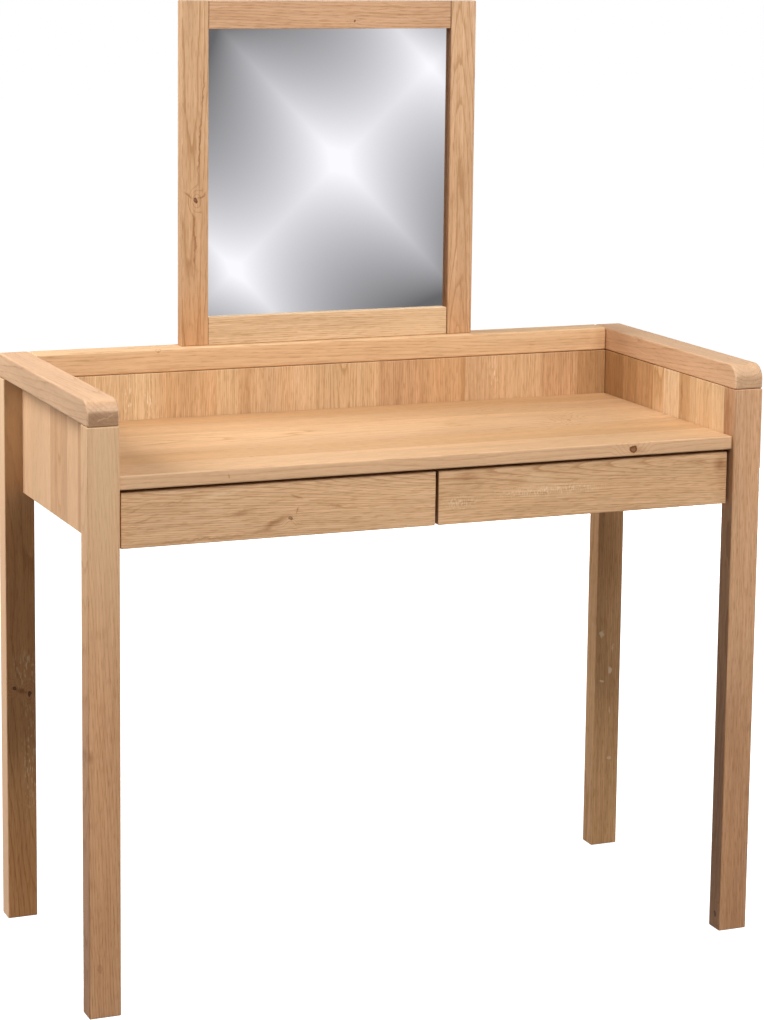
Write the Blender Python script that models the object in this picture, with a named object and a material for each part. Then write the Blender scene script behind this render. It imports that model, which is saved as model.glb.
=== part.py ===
"""Dressing table in oiled oak, with two drawers and a framed mirror.

Four legs carry a side rail each side, and a back rail joins the two side rails. Stave panels below
the rails form an upstand round the worktop and close the drawer case. The drawers have no handles:
each dovetailed box hangs on two wooden runners, and is pulled by the lower edge of its front.
The mirror frame stands on the back rail and is bolted to it from below.

Metres, +Z up, the front faces -Y, and the origin is on the floor under the middle of the table.
Left and right are those of someone who sits at the table.
"""

import math

import bmesh
import bpy
from mathutils import Matrix, Vector

# The table as a whole
TABLE_WIDTH = 1.040
TABLE_DEPTH = 0.465
WORKTOP_HEIGHT = 0.765
UPSTAND_HEIGHT = 0.106

# Clearance between two pieces that touch, and how far a cutter passes the face that it cuts
JOINT_GAP = 0.0003
OVERRUN = 0.002

# Legs
LEG_WIDTH = 0.046
LEG_DEPTH = 0.032
LEG_ARRIS = 0.0015

# Rails over the legs, with a quarter round at the front end of each side rail
RAIL_HEIGHT = 0.036
RAIL_ARRIS = 0.003
RAIL_NOSE_RADIUS = 0.022
BACK_RAIL_DEPTH = 0.043

# Stave panels, held by a tongue that stops short of where it would show
PANEL_THICKNESS = 0.018
BACK_PANEL_THICKNESS = 0.015
PANEL_ARRIS = 0.001
TONGUE_THICKNESS = 0.006
TONGUE_LENGTH = 0.008
TONGUE_STOP = 0.010

# Worktop and what holds it
WORKTOP_THICKNESS = 0.020
WORKTOP_SETBACK = 0.005
WORKTOP_ARRIS = 0.002
CLEAT_BOX_CLEARANCE = 0.0017
CLEAT_HEIGHT = 0.020
REAR_CLEAT_DEPTH = 0.020
BATTEN_ARRIS = 0.001

# Drawer case below the worktop
CASE_HEIGHT = 0.083
DIVIDER_THICKNESS = 0.018
DIVIDER_RAISE = 0.010

# Drawer fronts
FRONT_THICKNESS = 0.020
FRONT_SETBACK = 0.011
FRONT_TOP_GAP = 0.004
FRONT_SIDE_GAP = 0.0045
FRONT_MIDDLE_GAP = 0.0045
FRONT_ARRIS = 0.0012
FRONT_CLEARANCE = 0.0015

# Drawer boxes
BOX_SIDE_GAP = 0.012
BOX_RAISE = 0.008
BOX_TOP_CLEARANCE = 0.015
BOX_REAR_CLEARANCE = 0.036
SIDE_THICKNESS = 0.014
BOX_FRONT_THICKNESS = 0.014
BOX_BACK_THICKNESS = 0.012
BOX_BACK_INSET = 0.020
BOX_BACK_DROP = 0.004
DADO_DEPTH = 0.004
BOTTOM_THICKNESS = 0.006
BOTTOM_RAISE = 0.008
BOTTOM_GROOVE_DEPTH = 0.006
THIN_BOARD_ARRIS = 0.0008

# Dovetails at the front corners of the boxes
TAIL_COUNT = 3
TAIL_SHARE = 0.62
TAIL_SLOPE = 1 / 7

# Runners, and the grooves that they fill
RUNNER_HEIGHT = 0.012
RUNNER_TIP_CLEARANCE = 0.0005
RUNNER_GROOVE_DEPTH = 0.006
RUNNER_FRONT_INSET = 0.033
RUNNER_REAR_OVERHANG = 0.008

# Dowels
DOWEL_DIAMETER = 0.008
DOWEL_LENGTH = 0.050
DOWEL_CHAMFER = 0.001
LEG_DOWEL_SPACING = 0.022
RAIL_DOWEL_SPACING = 0.018
RAIL_DOWEL_INSET = 0.010

# Mirror
MIRROR_WIDTH = 0.482
MIRROR_HEIGHT = 0.522
FRAME_WIDTH = 0.0425
FRAME_THICKNESS = 0.020
FRAME_ARRIS = 0.001
FRAME_LIP = 0.009
REBATE_WIDTH = 0.008
GLASS_THICKNESS = 0.004
BACKING_THICKNESS = 0.003
TENON_LENGTH = 0.018
TENON_THICKNESS = 0.007
TENON_HEIGHT = 0.024

# Bolts that hold the mirror
BOLT_DIAMETER = 0.006
BOLT_BITE = 0.028
BOLT_INSET = 0.012
BOLT_PANEL_CLEARANCE = 0.0025
BOLT_HEAD_ACROSS = 0.010
BOLT_HEAD_HEIGHT = 0.004
BOLT_FLANGE_DIAMETER = 0.013
BOLT_FLANGE_HEIGHT = 0.0015

# How finely round shapes are drawn
NOSE_SEGMENTS = 12
ARRIS_SEGMENTS = 2
RAIL_ARRIS_SEGMENTS = 3
ROUND_SIDES = 16
HEX_SIDES = 6
SHARP_ANGLE = math.radians(35)

# Heights and planes that several pieces share
HALF_WIDTH = TABLE_WIDTH / 2
HALF_DEPTH = TABLE_DEPTH / 2
RAIL_TOP = WORKTOP_HEIGHT + UPSTAND_HEIGHT
RAIL_BOTTOM = RAIL_TOP - RAIL_HEIGHT
WORKTOP_BOTTOM = WORKTOP_HEIGHT - WORKTOP_THICKNESS
CASE_BOTTOM = WORKTOP_BOTTOM - CASE_HEIGHT
INNER_X = HALF_WIDTH - LEG_WIDTH
LEG_FRONT_Y = -HALF_DEPTH
LEG_INNER_Y = HALF_DEPTH - LEG_DEPTH
BACK_FACE_Y = HALF_DEPTH - BACK_RAIL_DEPTH
BACK_TONGUE_REACH = INNER_X - DOWEL_LENGTH / 2 - TONGUE_STOP
RAIL_DOWEL_Y = BACK_FACE_Y + RAIL_DOWEL_INSET
SIDE_TONGUE_FRONT_Y = -(LEG_INNER_Y - TONGUE_STOP)
SIDE_TONGUE_REAR_Y = RAIL_DOWEL_Y - DOWEL_DIAMETER / 2 - TONGUE_STOP
FRONT_FACE_Y = LEG_FRONT_Y + FRONT_SETBACK
FRONT_REAR_Y = FRONT_FACE_Y + FRONT_THICKNESS
BOX_Y = FRONT_REAR_Y + JOINT_GAP
BOX_REAR_Y = BACK_FACE_Y - BOX_REAR_CLEARANCE
BOX_BOTTOM = CASE_BOTTOM + BOX_RAISE
BOX_TOP = WORKTOP_BOTTOM - BOX_TOP_CLEARANCE
BOX_HEIGHT = BOX_TOP - BOX_BOTTOM
RUNNER_Z = BOX_BOTTOM + BOX_HEIGHT / 2
RUNNER_FRONT_Y = BOX_Y + RUNNER_FRONT_INSET
BOTTOM_GROOVE_Z = BOX_BOTTOM + BOTTOM_RAISE
BOTTOM_GROOVE_TOP = BOTTOM_GROOVE_Z + BOTTOM_THICKNESS + 2 * JOINT_GAP
PANEL_MIDDLE_X = INNER_X + PANEL_THICKNESS / 2
RUNNER_TIP = BOX_SIDE_GAP + RUNNER_GROOVE_DEPTH - RUNNER_TIP_CLEARANCE
CLEAT_WIDTH = BOX_SIDE_GAP - JOINT_GAP - CLEAT_BOX_CLEARANCE
BACK_PANEL_REAR_Y = BACK_FACE_Y + BACK_PANEL_THICKNESS
BOLT_X = MIRROR_WIDTH / 2 - BOLT_INSET
BOLT_Y = BACK_PANEL_REAR_Y + BOLT_PANEL_CLEARANCE + BOLT_FLANGE_DIAMETER / 2
MIRROR_FRONT_Y = BOLT_Y - FRAME_THICKNESS / 2
MIRROR_BOTTOM = RAIL_TOP + JOINT_GAP
MIRROR_TOP = MIRROR_BOTTOM + MIRROR_HEIGHT

# Finishes: base colour in linear RGB, roughness, metallic
OAK = ("oiled_oak", (0.62, 0.40, 0.22), 0.55, 0.0)
DRAWER_OAK = ("drawer_oak", (0.60, 0.41, 0.24), 0.60, 0.0)
BEECH = ("beech", (0.58, 0.38, 0.22), 0.55, 0.0)
PLYWOOD = ("birch_plywood", (0.66, 0.50, 0.32), 0.60, 0.0)
SILVERED_GLASS = ("silvered_glass", (0.85, 0.87, 0.88), 0.03, 1.0)
HARDBOARD = ("hardboard", (0.19, 0.11, 0.06), 0.75, 0.0)
ZINC = ("zinc_plated_steel", (0.55, 0.56, 0.58), 0.35, 1.0)

SIDES = {"left": -1, "right": 1}
ENDS = {"front": -1, "rear": 1}


def clear_scene():
    for obj in list(bpy.data.objects):
        bpy.data.objects.remove(obj, do_unlink=True)


def material_for(name, finish):
    """A material of the piece's own, in one of the finishes above."""
    label, colour, roughness, metallic = finish
    material = bpy.data.materials.new(f"{name}_{label}")
    material.use_nodes = True
    shader = material.node_tree.nodes["Principled BSDF"]
    shader.inputs["Base Color"].default_value = (*colour, 1.0)
    shader.inputs["Roughness"].default_value = roughness
    shader.inputs["Metallic"].default_value = metallic
    return material


def add_object(name, work, centre, parent):
    """Turns a bmesh drawn about its own centre into an object placed at that centre."""
    mesh = bpy.data.meshes.new(name)
    bmesh.ops.recalc_face_normals(work, faces=work.faces)
    work.to_mesh(mesh)
    work.free()
    obj = bpy.data.objects.new(name, mesh)
    bpy.context.scene.collection.objects.link(obj)
    obj.parent = parent
    obj.location = Vector(centre) - (parent.location if parent else Vector())
    return obj


def box_mesh(low, high):
    work = bmesh.new()
    bmesh.ops.create_cube(work, size=1)
    size = Vector(high) - Vector(low)
    bmesh.ops.scale(work, vec=size, verts=work.verts)
    return work


def ease_edges(obj, width, segments=ARRIS_SEGMENTS):
    bevel = obj.modifiers.new("arris", "BEVEL")
    bevel.width = width
    bevel.segments = segments
    bevel.limit_method = "ANGLE"
    bevel.angle_limit = SHARP_ANGLE


def board(name, low, high, finish, arris, parent=None):
    """A squared board between two corners, with its arrises eased."""
    centre = (Vector(low) + Vector(high)) / 2
    obj = add_object(name, box_mesh(low, high), centre, parent)
    obj.data.materials.append(material_for(name, finish))
    ease_edges(obj, arris)
    return obj


def outline_mesh(outline, low, high, centre):
    """Extrudes an outline of (y, z) points from x = low to x = high."""
    work = bmesh.new()
    corners = [work.verts.new(Vector((low, y, z)) - centre) for y, z in outline]
    face = work.faces.new(corners)
    grown = bmesh.ops.extrude_face_region(work, geom=[face])
    moved = [item for item in grown["geom"] if isinstance(item, bmesh.types.BMVert)]
    bmesh.ops.translate(work, vec=Vector((high - low, 0, 0)), verts=moved)
    return work


def helper(obj):
    """Marks a cutter, or a shape that is joined to another, as no piece of its own."""
    obj.hide_render = True
    obj.display_type = "WIRE"
    return obj


def box_helper(name, low, high, parent=None):
    centre = (Vector(low) + Vector(high)) / 2
    return helper(add_object(name, box_mesh(low, high), centre, parent))


def rod_mesh(diameter, length, axis, sides=ROUND_SIDES):
    """A round or many-sided rod about its own centre, along +X or +Z."""
    work = bmesh.new()
    turn = Matrix.Rotation(math.pi / 2, 4, "Y") if axis == "X" else Matrix()
    radius = diameter / 2
    bmesh.ops.create_cone(
        work, cap_ends=True, segments=sides, radius1=radius, radius2=radius, depth=length, matrix=turn
    )
    return work


def rod_helper(name, centre, diameter, length, axis, sides=ROUND_SIDES):
    return helper(add_object(name, rod_mesh(diameter, length, axis, sides), centre, None))


def combine(obj, other, operation):
    boolean = obj.modifiers.new(other.name, "BOOLEAN")
    boolean.operation = operation
    boolean.object = other


def cut(obj, *cutters):
    for cutter in cutters:
        combine(obj, cutter, "DIFFERENCE")


def across(side, *distances):
    """Lowest and highest X of distances from the middle, on the left or right side."""
    places = [SIDES[side] * distance for distance in distances]
    return min(places), max(places)


def dowel(name, centre, axis):
    work = rod_mesh(DOWEL_DIAMETER, DOWEL_LENGTH, axis)
    obj = add_object(name, work, centre, None)
    obj.data.materials.append(material_for(name, BEECH))
    ease_edges(obj, DOWEL_CHAMFER, 1)
    obj.data.shade_smooth()
    obj.data.set_sharp_from_angle(angle=SHARP_ANGLE)


def dowel_bore(name, centre, axis):
    """The hole for a dowel: a gap wider all round, and a gap longer at each end."""
    return rod_helper(name, centre, DOWEL_DIAMETER + 2 * JOINT_GAP, DOWEL_LENGTH + 2 * JOINT_GAP, axis)


def side_rail_outline():
    """The side rail seen from its side, with the quarter round at the top of its front end."""
    centre_y = LEG_FRONT_Y + RAIL_NOSE_RADIUS
    centre_z = RAIL_TOP - RAIL_NOSE_RADIUS
    outline = [(HALF_DEPTH, RAIL_BOTTOM), (LEG_FRONT_Y, RAIL_BOTTOM)]
    for step in range(NOSE_SEGMENTS + 1):
        turn = math.pi / 2 * step / NOSE_SEGMENTS
        nose_y = centre_y - RAIL_NOSE_RADIUS * math.cos(turn)
        nose_z = centre_z + RAIL_NOSE_RADIUS * math.sin(turn)
        outline.append((nose_y, nose_z))
    outline.append((HALF_DEPTH, RAIL_TOP))
    return outline


def leg_dowel_places(side, end):
    """Name and centre of the two dowels between a leg and the rail above it."""
    leg_x = SIDES[side] * (HALF_WIDTH - LEG_WIDTH / 2)
    leg_y = ENDS[end] * (HALF_DEPTH - LEG_DEPTH / 2)
    for label, share in (("a", -0.5), ("b", 0.5)):
        name = f"leg_dowel_{end}_{side}_{label}"
        yield name, (leg_x + share * LEG_DOWEL_SPACING, leg_y, RAIL_BOTTOM)


def rail_dowel_places(side):
    """Name and centre of the two dowels between the back rail and a side rail."""
    middle_z = RAIL_BOTTOM + RAIL_HEIGHT / 2
    for label, share in (("lower", -0.5), ("upper", 0.5)):
        name = f"rail_dowel_{side}_{label}"
        centre_z = middle_z + share * RAIL_DOWEL_SPACING
        yield name, (SIDES[side] * INNER_X, RAIL_DOWEL_Y, centre_z)


def side_panel_groove(name, side, low_y, high_y, low_z, high_z):
    """The groove in a leg or a side rail that takes the tongue of a side panel."""
    reach = TONGUE_THICKNESS / 2 + JOINT_GAP
    low_x, high_x = across(side, PANEL_MIDDLE_X - reach, PANEL_MIDDLE_X + reach)
    return box_helper(name, (low_x, low_y, low_z), (high_x, high_y, high_z))


def make_leg(side, end):
    name = f"leg_{end}_{side}"
    low_x, high_x = across(side, INNER_X, HALF_WIDTH)
    low_y, high_y = sorted((ENDS[end] * LEG_INNER_Y, ENDS[end] * HALF_DEPTH))
    leg_top = RAIL_BOTTOM - JOINT_GAP
    leg = board(name, (low_x, low_y, 0), (high_x, high_y, leg_top), OAK, LEG_ARRIS)
    mouth_y = ENDS[end] * (LEG_INNER_Y - OVERRUN)
    depth_y = ENDS[end] * (LEG_INNER_Y + TONGUE_LENGTH + JOINT_GAP)
    groove_bottom = CASE_BOTTOM + TONGUE_STOP - JOINT_GAP
    groove = side_panel_groove(
        f"{name}_groove", side, *sorted((mouth_y, depth_y)), groove_bottom, RAIL_BOTTOM + OVERRUN
    )
    cut(leg, groove)
    for dowel_name, centre in leg_dowel_places(side, end):
        cut(leg, dowel_bore(f"{dowel_name}_leg_bore", centre, "Z"))


def make_side_rail(side):
    name = f"side_rail_{side}"
    low_x, high_x = across(side, INNER_X, HALF_WIDTH)
    centre = Vector(((low_x + high_x) / 2, 0, RAIL_BOTTOM + RAIL_HEIGHT / 2))
    rail = add_object(name, outline_mesh(side_rail_outline(), low_x, high_x, centre), centre, None)
    rail.data.materials.append(material_for(name, OAK))
    ease_edges(rail, RAIL_ARRIS, RAIL_ARRIS_SEGMENTS)
    groove_front = SIDE_TONGUE_FRONT_Y - JOINT_GAP
    groove_rear = SIDE_TONGUE_REAR_Y + JOINT_GAP
    groove_top = RAIL_BOTTOM + TONGUE_LENGTH + JOINT_GAP
    groove = side_panel_groove(
        f"{name}_groove", side, groove_front, groove_rear, RAIL_BOTTOM - OVERRUN, groove_top
    )
    cut(rail, groove)
    for end in ENDS:
        for dowel_name, place in leg_dowel_places(side, end):
            cut(rail, dowel_bore(f"{dowel_name}_rail_bore", place, "Z"))
    for dowel_name, place in rail_dowel_places(side):
        cut(rail, dowel_bore(f"{dowel_name}_side_bore", place, "X"))


def make_back_rail():
    reach = INNER_X - JOINT_GAP
    low = (-reach, BACK_FACE_Y, RAIL_BOTTOM)
    high = (reach, HALF_DEPTH, RAIL_TOP)
    rail = board("back_rail", low, high, OAK, RAIL_ARRIS)
    rail.modifiers["arris"].segments = RAIL_ARRIS_SEGMENTS
    tongue_reach = BACK_TONGUE_REACH + JOINT_GAP
    tongue_y = BACK_FACE_Y + BACK_PANEL_THICKNESS / 2
    tongue_half = TONGUE_THICKNESS / 2 + JOINT_GAP
    groove = box_helper(
        "back_rail_groove",
        (-tongue_reach, tongue_y - tongue_half, RAIL_BOTTOM - OVERRUN),
        (tongue_reach, tongue_y + tongue_half, RAIL_BOTTOM + TONGUE_LENGTH + JOINT_GAP),
    )
    cut(rail, groove)
    for side in SIDES:
        for dowel_name, place in rail_dowel_places(side):
            cut(rail, dowel_bore(f"{dowel_name}_back_bore", place, "X"))
        bore_name = f"mirror_bolt_{side}_rail_bore"
        bore_centre = (SIDES[side] * BOLT_X, BOLT_Y, RAIL_BOTTOM + RAIL_HEIGHT / 2)
        bore_diameter = BOLT_DIAMETER + 2 * JOINT_GAP
        bore_length = RAIL_HEIGHT + 2 * OVERRUN
        cut(rail, rod_helper(bore_name, bore_centre, bore_diameter, bore_length, "Z"))


def make_side_panel(side):
    name = f"side_panel_{side}"
    low_x, high_x = across(side, INNER_X, INNER_X + PANEL_THICKNESS)
    reach_y = LEG_INNER_Y - JOINT_GAP
    panel_top = RAIL_BOTTOM - JOINT_GAP
    panel = board(name, (low_x, -reach_y, CASE_BOTTOM), (high_x, reach_y, panel_top), OAK, PANEL_ARRIS)
    half = TONGUE_THICKNESS / 2
    low_x, high_x = across(side, PANEL_MIDDLE_X - half, PANEL_MIDDLE_X + half)
    tongue_y = LEG_INNER_Y + TONGUE_LENGTH
    tongue_bottom = CASE_BOTTOM + TONGUE_STOP
    end_tongues = box_helper(
        f"{name}_end_tongues", (low_x, -tongue_y, tongue_bottom), (high_x, tongue_y, panel_top)
    )
    top_tongue = box_helper(
        f"{name}_top_tongue",
        (low_x, SIDE_TONGUE_FRONT_Y, tongue_bottom),
        (high_x, SIDE_TONGUE_REAR_Y, RAIL_BOTTOM + TONGUE_LENGTH),
    )
    combine(panel, end_tongues, "UNION")
    combine(panel, top_tongue, "UNION")


def make_back_panel():
    reach = INNER_X - JOINT_GAP
    panel_top = RAIL_BOTTOM - JOINT_GAP
    low = (-reach, BACK_FACE_Y, CASE_BOTTOM)
    high = (reach, BACK_PANEL_REAR_Y, panel_top)
    panel = board("back_panel", low, high, OAK, PANEL_ARRIS)
    tongue_y = BACK_FACE_Y + BACK_PANEL_THICKNESS / 2
    half = TONGUE_THICKNESS / 2
    tongue = box_helper(
        "back_panel_tongue",
        (-BACK_TONGUE_REACH, tongue_y - half, CASE_BOTTOM + TONGUE_STOP),
        (BACK_TONGUE_REACH, tongue_y + half, RAIL_BOTTOM + TONGUE_LENGTH),
    )
    combine(panel, tongue, "UNION")


def make_worktop():
    reach = INNER_X - JOINT_GAP
    low = (-reach, LEG_FRONT_Y + WORKTOP_SETBACK, WORKTOP_BOTTOM)
    high = (reach, BACK_FACE_Y - JOINT_GAP, WORKTOP_HEIGHT)
    board("worktop", low, high, OAK, WORKTOP_ARRIS)


def make_cleats(side):
    """The battens under the worktop, along a side panel and along the back panel."""
    cleat_top = WORKTOP_BOTTOM - JOINT_GAP
    cleat_bottom = cleat_top - CLEAT_HEIGHT
    wall_x = INNER_X - JOINT_GAP
    rear_y = BACK_FACE_Y - JOINT_GAP
    rear_front_y = rear_y - REAR_CLEAT_DEPTH
    low_x, high_x = across(side, wall_x - CLEAT_WIDTH, wall_x)
    side_low = (low_x, FRONT_REAR_Y + FRONT_CLEARANCE, cleat_bottom)
    side_high = (high_x, rear_front_y - JOINT_GAP, cleat_top)
    board(f"worktop_cleat_{side}", side_low, side_high, BEECH, BATTEN_ARRIS)
    low_x, high_x = across(side, DIVIDER_THICKNESS / 2 + JOINT_GAP, wall_x)
    rear_low = (low_x, rear_front_y, cleat_bottom)
    rear_high = (high_x, rear_y, cleat_top)
    board(f"worktop_cleat_rear_{side}", rear_low, rear_high, BEECH, BATTEN_ARRIS)


def make_divider():
    half = DIVIDER_THICKNESS / 2
    low = (-half, FRONT_REAR_Y + FRONT_CLEARANCE, CASE_BOTTOM + DIVIDER_RAISE)
    high = (half, BACK_FACE_Y - JOINT_GAP, WORKTOP_BOTTOM - JOINT_GAP)
    board("drawer_divider", low, high, OAK, PANEL_ARRIS)


def make_runner(name, wall_x, towards):
    """A runner on the wall at wall_x, standing out towards the drawer (+1 is +X)."""
    root_x = wall_x + towards * JOINT_GAP
    tip_x = wall_x + towards * RUNNER_TIP
    low_x, high_x = sorted((root_x, tip_x))
    rear_y = BOX_REAR_Y + RUNNER_REAR_OVERHANG
    low = (low_x, RUNNER_FRONT_Y, RUNNER_Z - RUNNER_HEIGHT / 2)
    high = (high_x, rear_y, RUNNER_Z + RUNNER_HEIGHT / 2)
    board(name, low, high, BEECH, BATTEN_ARRIS)


def tail_places():
    """Height of the middle of each dovetail, lowest first."""
    pitch = BOX_HEIGHT / TAIL_COUNT
    return [BOX_BOTTOM + pitch * (step + 0.5) for step in range(TAIL_COUNT)]


def tail_half(distance):
    """Half the height of a dovetail at a distance from its root."""
    return TAIL_SHARE * BOX_HEIGHT / TAIL_COUNT / 2 + TAIL_SLOPE * distance


def drawer_side_outline():
    """A drawer side seen from the flank, with its dovetails at the front end."""
    root_y = BOX_Y + BOX_FRONT_THICKNESS + JOINT_GAP
    tip_half = tail_half(root_y - BOX_Y)
    outline = [(BOX_REAR_Y, BOX_TOP), (BOX_REAR_Y, BOX_BOTTOM), (root_y, BOX_BOTTOM)]
    for middle in tail_places():
        outline.append((root_y, middle - tail_half(0)))
        outline.append((BOX_Y, middle - tip_half))
        outline.append((BOX_Y, middle + tip_half))
        outline.append((root_y, middle + tail_half(0)))
    outline.append((root_y, BOX_TOP))
    return outline


def socket_cutter(name, low_x, high_x, parent):
    """The three dovetail sockets at one end of a box front, a gap wider than the tails."""
    root_y = BOX_Y + BOX_FRONT_THICKNESS + OVERRUN
    tip_y = BOX_Y - OVERRUN
    tail_root_y = BOX_Y + BOX_FRONT_THICKNESS + JOINT_GAP
    root_half = tail_half(tail_root_y - root_y) + JOINT_GAP
    tip_half = tail_half(tail_root_y - tip_y) + JOINT_GAP
    centre = Vector(((low_x + high_x) / 2, BOX_Y, RUNNER_Z))
    work = bmesh.new()
    for middle in tail_places():
        outline = [
            (root_y, middle - root_half),
            (tip_y, middle - tip_half),
            (tip_y, middle + tip_half),
            (root_y, middle + root_half),
        ]
        tail = outline_mesh(outline, low_x, high_x, centre)
        mesh = bpy.data.meshes.new(name)
        tail.to_mesh(mesh)
        tail.free()
        work.from_mesh(mesh)
        bpy.data.meshes.remove(mesh)
    return helper(add_object(name, work, centre, parent))


def make_drawer_side(name, outer_x, inwards, parent):
    """A drawer side whose outer face is at outer_x, with the box on its inwards side (+1 is +X)."""
    inner_x = outer_x + inwards * SIDE_THICKNESS
    low_x, high_x = sorted((outer_x, inner_x))
    centre = Vector(((low_x + high_x) / 2, (BOX_Y + BOX_REAR_Y) / 2, RUNNER_Z))
    side = add_object(name, outline_mesh(drawer_side_outline(), low_x, high_x, centre), centre, parent)
    side.data.materials.append(material_for(name, DRAWER_OAK))
    overrun_x = inwards * OVERRUN

    low_x, high_x = sorted((outer_x - overrun_x, outer_x + inwards * RUNNER_GROOVE_DEPTH))
    half = RUNNER_HEIGHT / 2 + JOINT_GAP
    groove_front = RUNNER_FRONT_Y - JOINT_GAP
    runner_groove = box_helper(
        f"{name}_runner_groove",
        (low_x, groove_front, RUNNER_Z - half),
        (high_x, BOX_REAR_Y + OVERRUN, RUNNER_Z + half),
        parent,
    )

    low_x, high_x = sorted((inner_x - inwards * BOTTOM_GROOVE_DEPTH, inner_x + overrun_x))
    bottom_groove = box_helper(
        f"{name}_bottom_groove",
        (low_x, BOX_Y - OVERRUN, BOTTOM_GROOVE_Z),
        (high_x, BOX_REAR_Y + OVERRUN, BOTTOM_GROOVE_TOP),
        parent,
    )

    low_x, high_x = sorted((inner_x - inwards * DADO_DEPTH, inner_x + overrun_x))
    dado_rear = BOX_REAR_Y - BOX_BACK_INSET + JOINT_GAP
    dado = box_helper(
        f"{name}_dado",
        (low_x, dado_rear - BOX_BACK_THICKNESS - 2 * JOINT_GAP, BOTTOM_GROOVE_Z),
        (high_x, dado_rear, BOX_TOP + OVERRUN),
        parent,
    )
    cut(side, runner_groove, bottom_groove, dado)
    return side


def make_drawer(label):
    """One drawer, all of it on an empty that lies on the line of its slide."""
    outward = SIDES[label]
    front_outer = INNER_X - FRONT_SIDE_GAP
    front_inner = FRONT_MIDDLE_GAP / 2
    box_outer = INNER_X - BOX_SIDE_GAP
    box_inner = DIVIDER_THICKNESS / 2 + BOX_SIDE_GAP
    name = f"drawer_{label}"

    slide = bpy.data.objects.new(f"{name}_slide", None)
    bpy.context.scene.collection.objects.link(slide)
    slide.location = (outward * (box_outer + box_inner) / 2, FRONT_FACE_Y, RUNNER_Z)

    low_x, high_x = across(label, front_inner, front_outer)
    front_low = (low_x, FRONT_FACE_Y, CASE_BOTTOM)
    front_high = (high_x, FRONT_REAR_Y, WORKTOP_BOTTOM - FRONT_TOP_GAP)
    board(f"{name}_front", front_low, front_high, OAK, FRONT_ARRIS, slide)

    make_drawer_side(f"{name}_side_outer", outward * box_outer, -outward, slide)
    make_drawer_side(f"{name}_side_inner", outward * box_inner, outward, slide)

    low_x, high_x = across(label, box_inner, box_outer)
    box_front_rear = BOX_Y + BOX_FRONT_THICKNESS
    box_front = board(
        f"{name}_box_front",
        (low_x, BOX_Y, BOX_BOTTOM),
        (high_x, box_front_rear, BOX_TOP),
        DRAWER_OAK,
        THIN_BOARD_ARRIS,
        slide,
    )
    reach = SIDE_THICKNESS + JOINT_GAP
    low_socket = socket_cutter(f"{name}_sockets_low", low_x - OVERRUN, low_x + reach, slide)
    high_socket = socket_cutter(f"{name}_sockets_high", high_x - reach, high_x + OVERRUN, slide)
    front_groove = box_helper(
        f"{name}_box_front_groove",
        (low_x - OVERRUN, box_front_rear - BOTTOM_GROOVE_DEPTH, BOTTOM_GROOVE_Z),
        (high_x + OVERRUN, box_front_rear + OVERRUN, BOTTOM_GROOVE_TOP),
        slide,
    )
    cut(box_front, low_socket, high_socket, front_groove)

    groove_slack = SIDE_THICKNESS - BOTTOM_GROOVE_DEPTH + JOINT_GAP
    bottom_front = box_front_rear - BOTTOM_GROOVE_DEPTH + JOINT_GAP
    back_rear = BOX_REAR_Y - BOX_BACK_INSET
    board(
        f"{name}_bottom",
        (low_x + groove_slack, bottom_front, BOTTOM_GROOVE_Z + JOINT_GAP),
        (high_x - groove_slack, back_rear, BOTTOM_GROOVE_TOP - JOINT_GAP),
        PLYWOOD,
        THIN_BOARD_ARRIS,
        slide,
    )
    dado_slack = SIDE_THICKNESS - DADO_DEPTH + JOINT_GAP
    board(
        f"{name}_back",
        (low_x + dado_slack, back_rear - BOX_BACK_THICKNESS, BOTTOM_GROOVE_TOP),
        (high_x - dado_slack, back_rear, BOX_TOP - BOX_BACK_DROP),
        DRAWER_OAK,
        THIN_BOARD_ARRIS,
        slide,
    )


def rebate_cutter(name, low_x, high_x, low_z, high_z):
    """The rebate at the back of the frame that takes the glass and the backing."""
    low_y = MIRROR_FRONT_Y + FRAME_LIP
    high_y = MIRROR_FRONT_Y + FRAME_THICKNESS + OVERRUN
    return box_helper(name, (low_x, low_y, low_z), (high_x, high_y, high_z))


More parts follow.
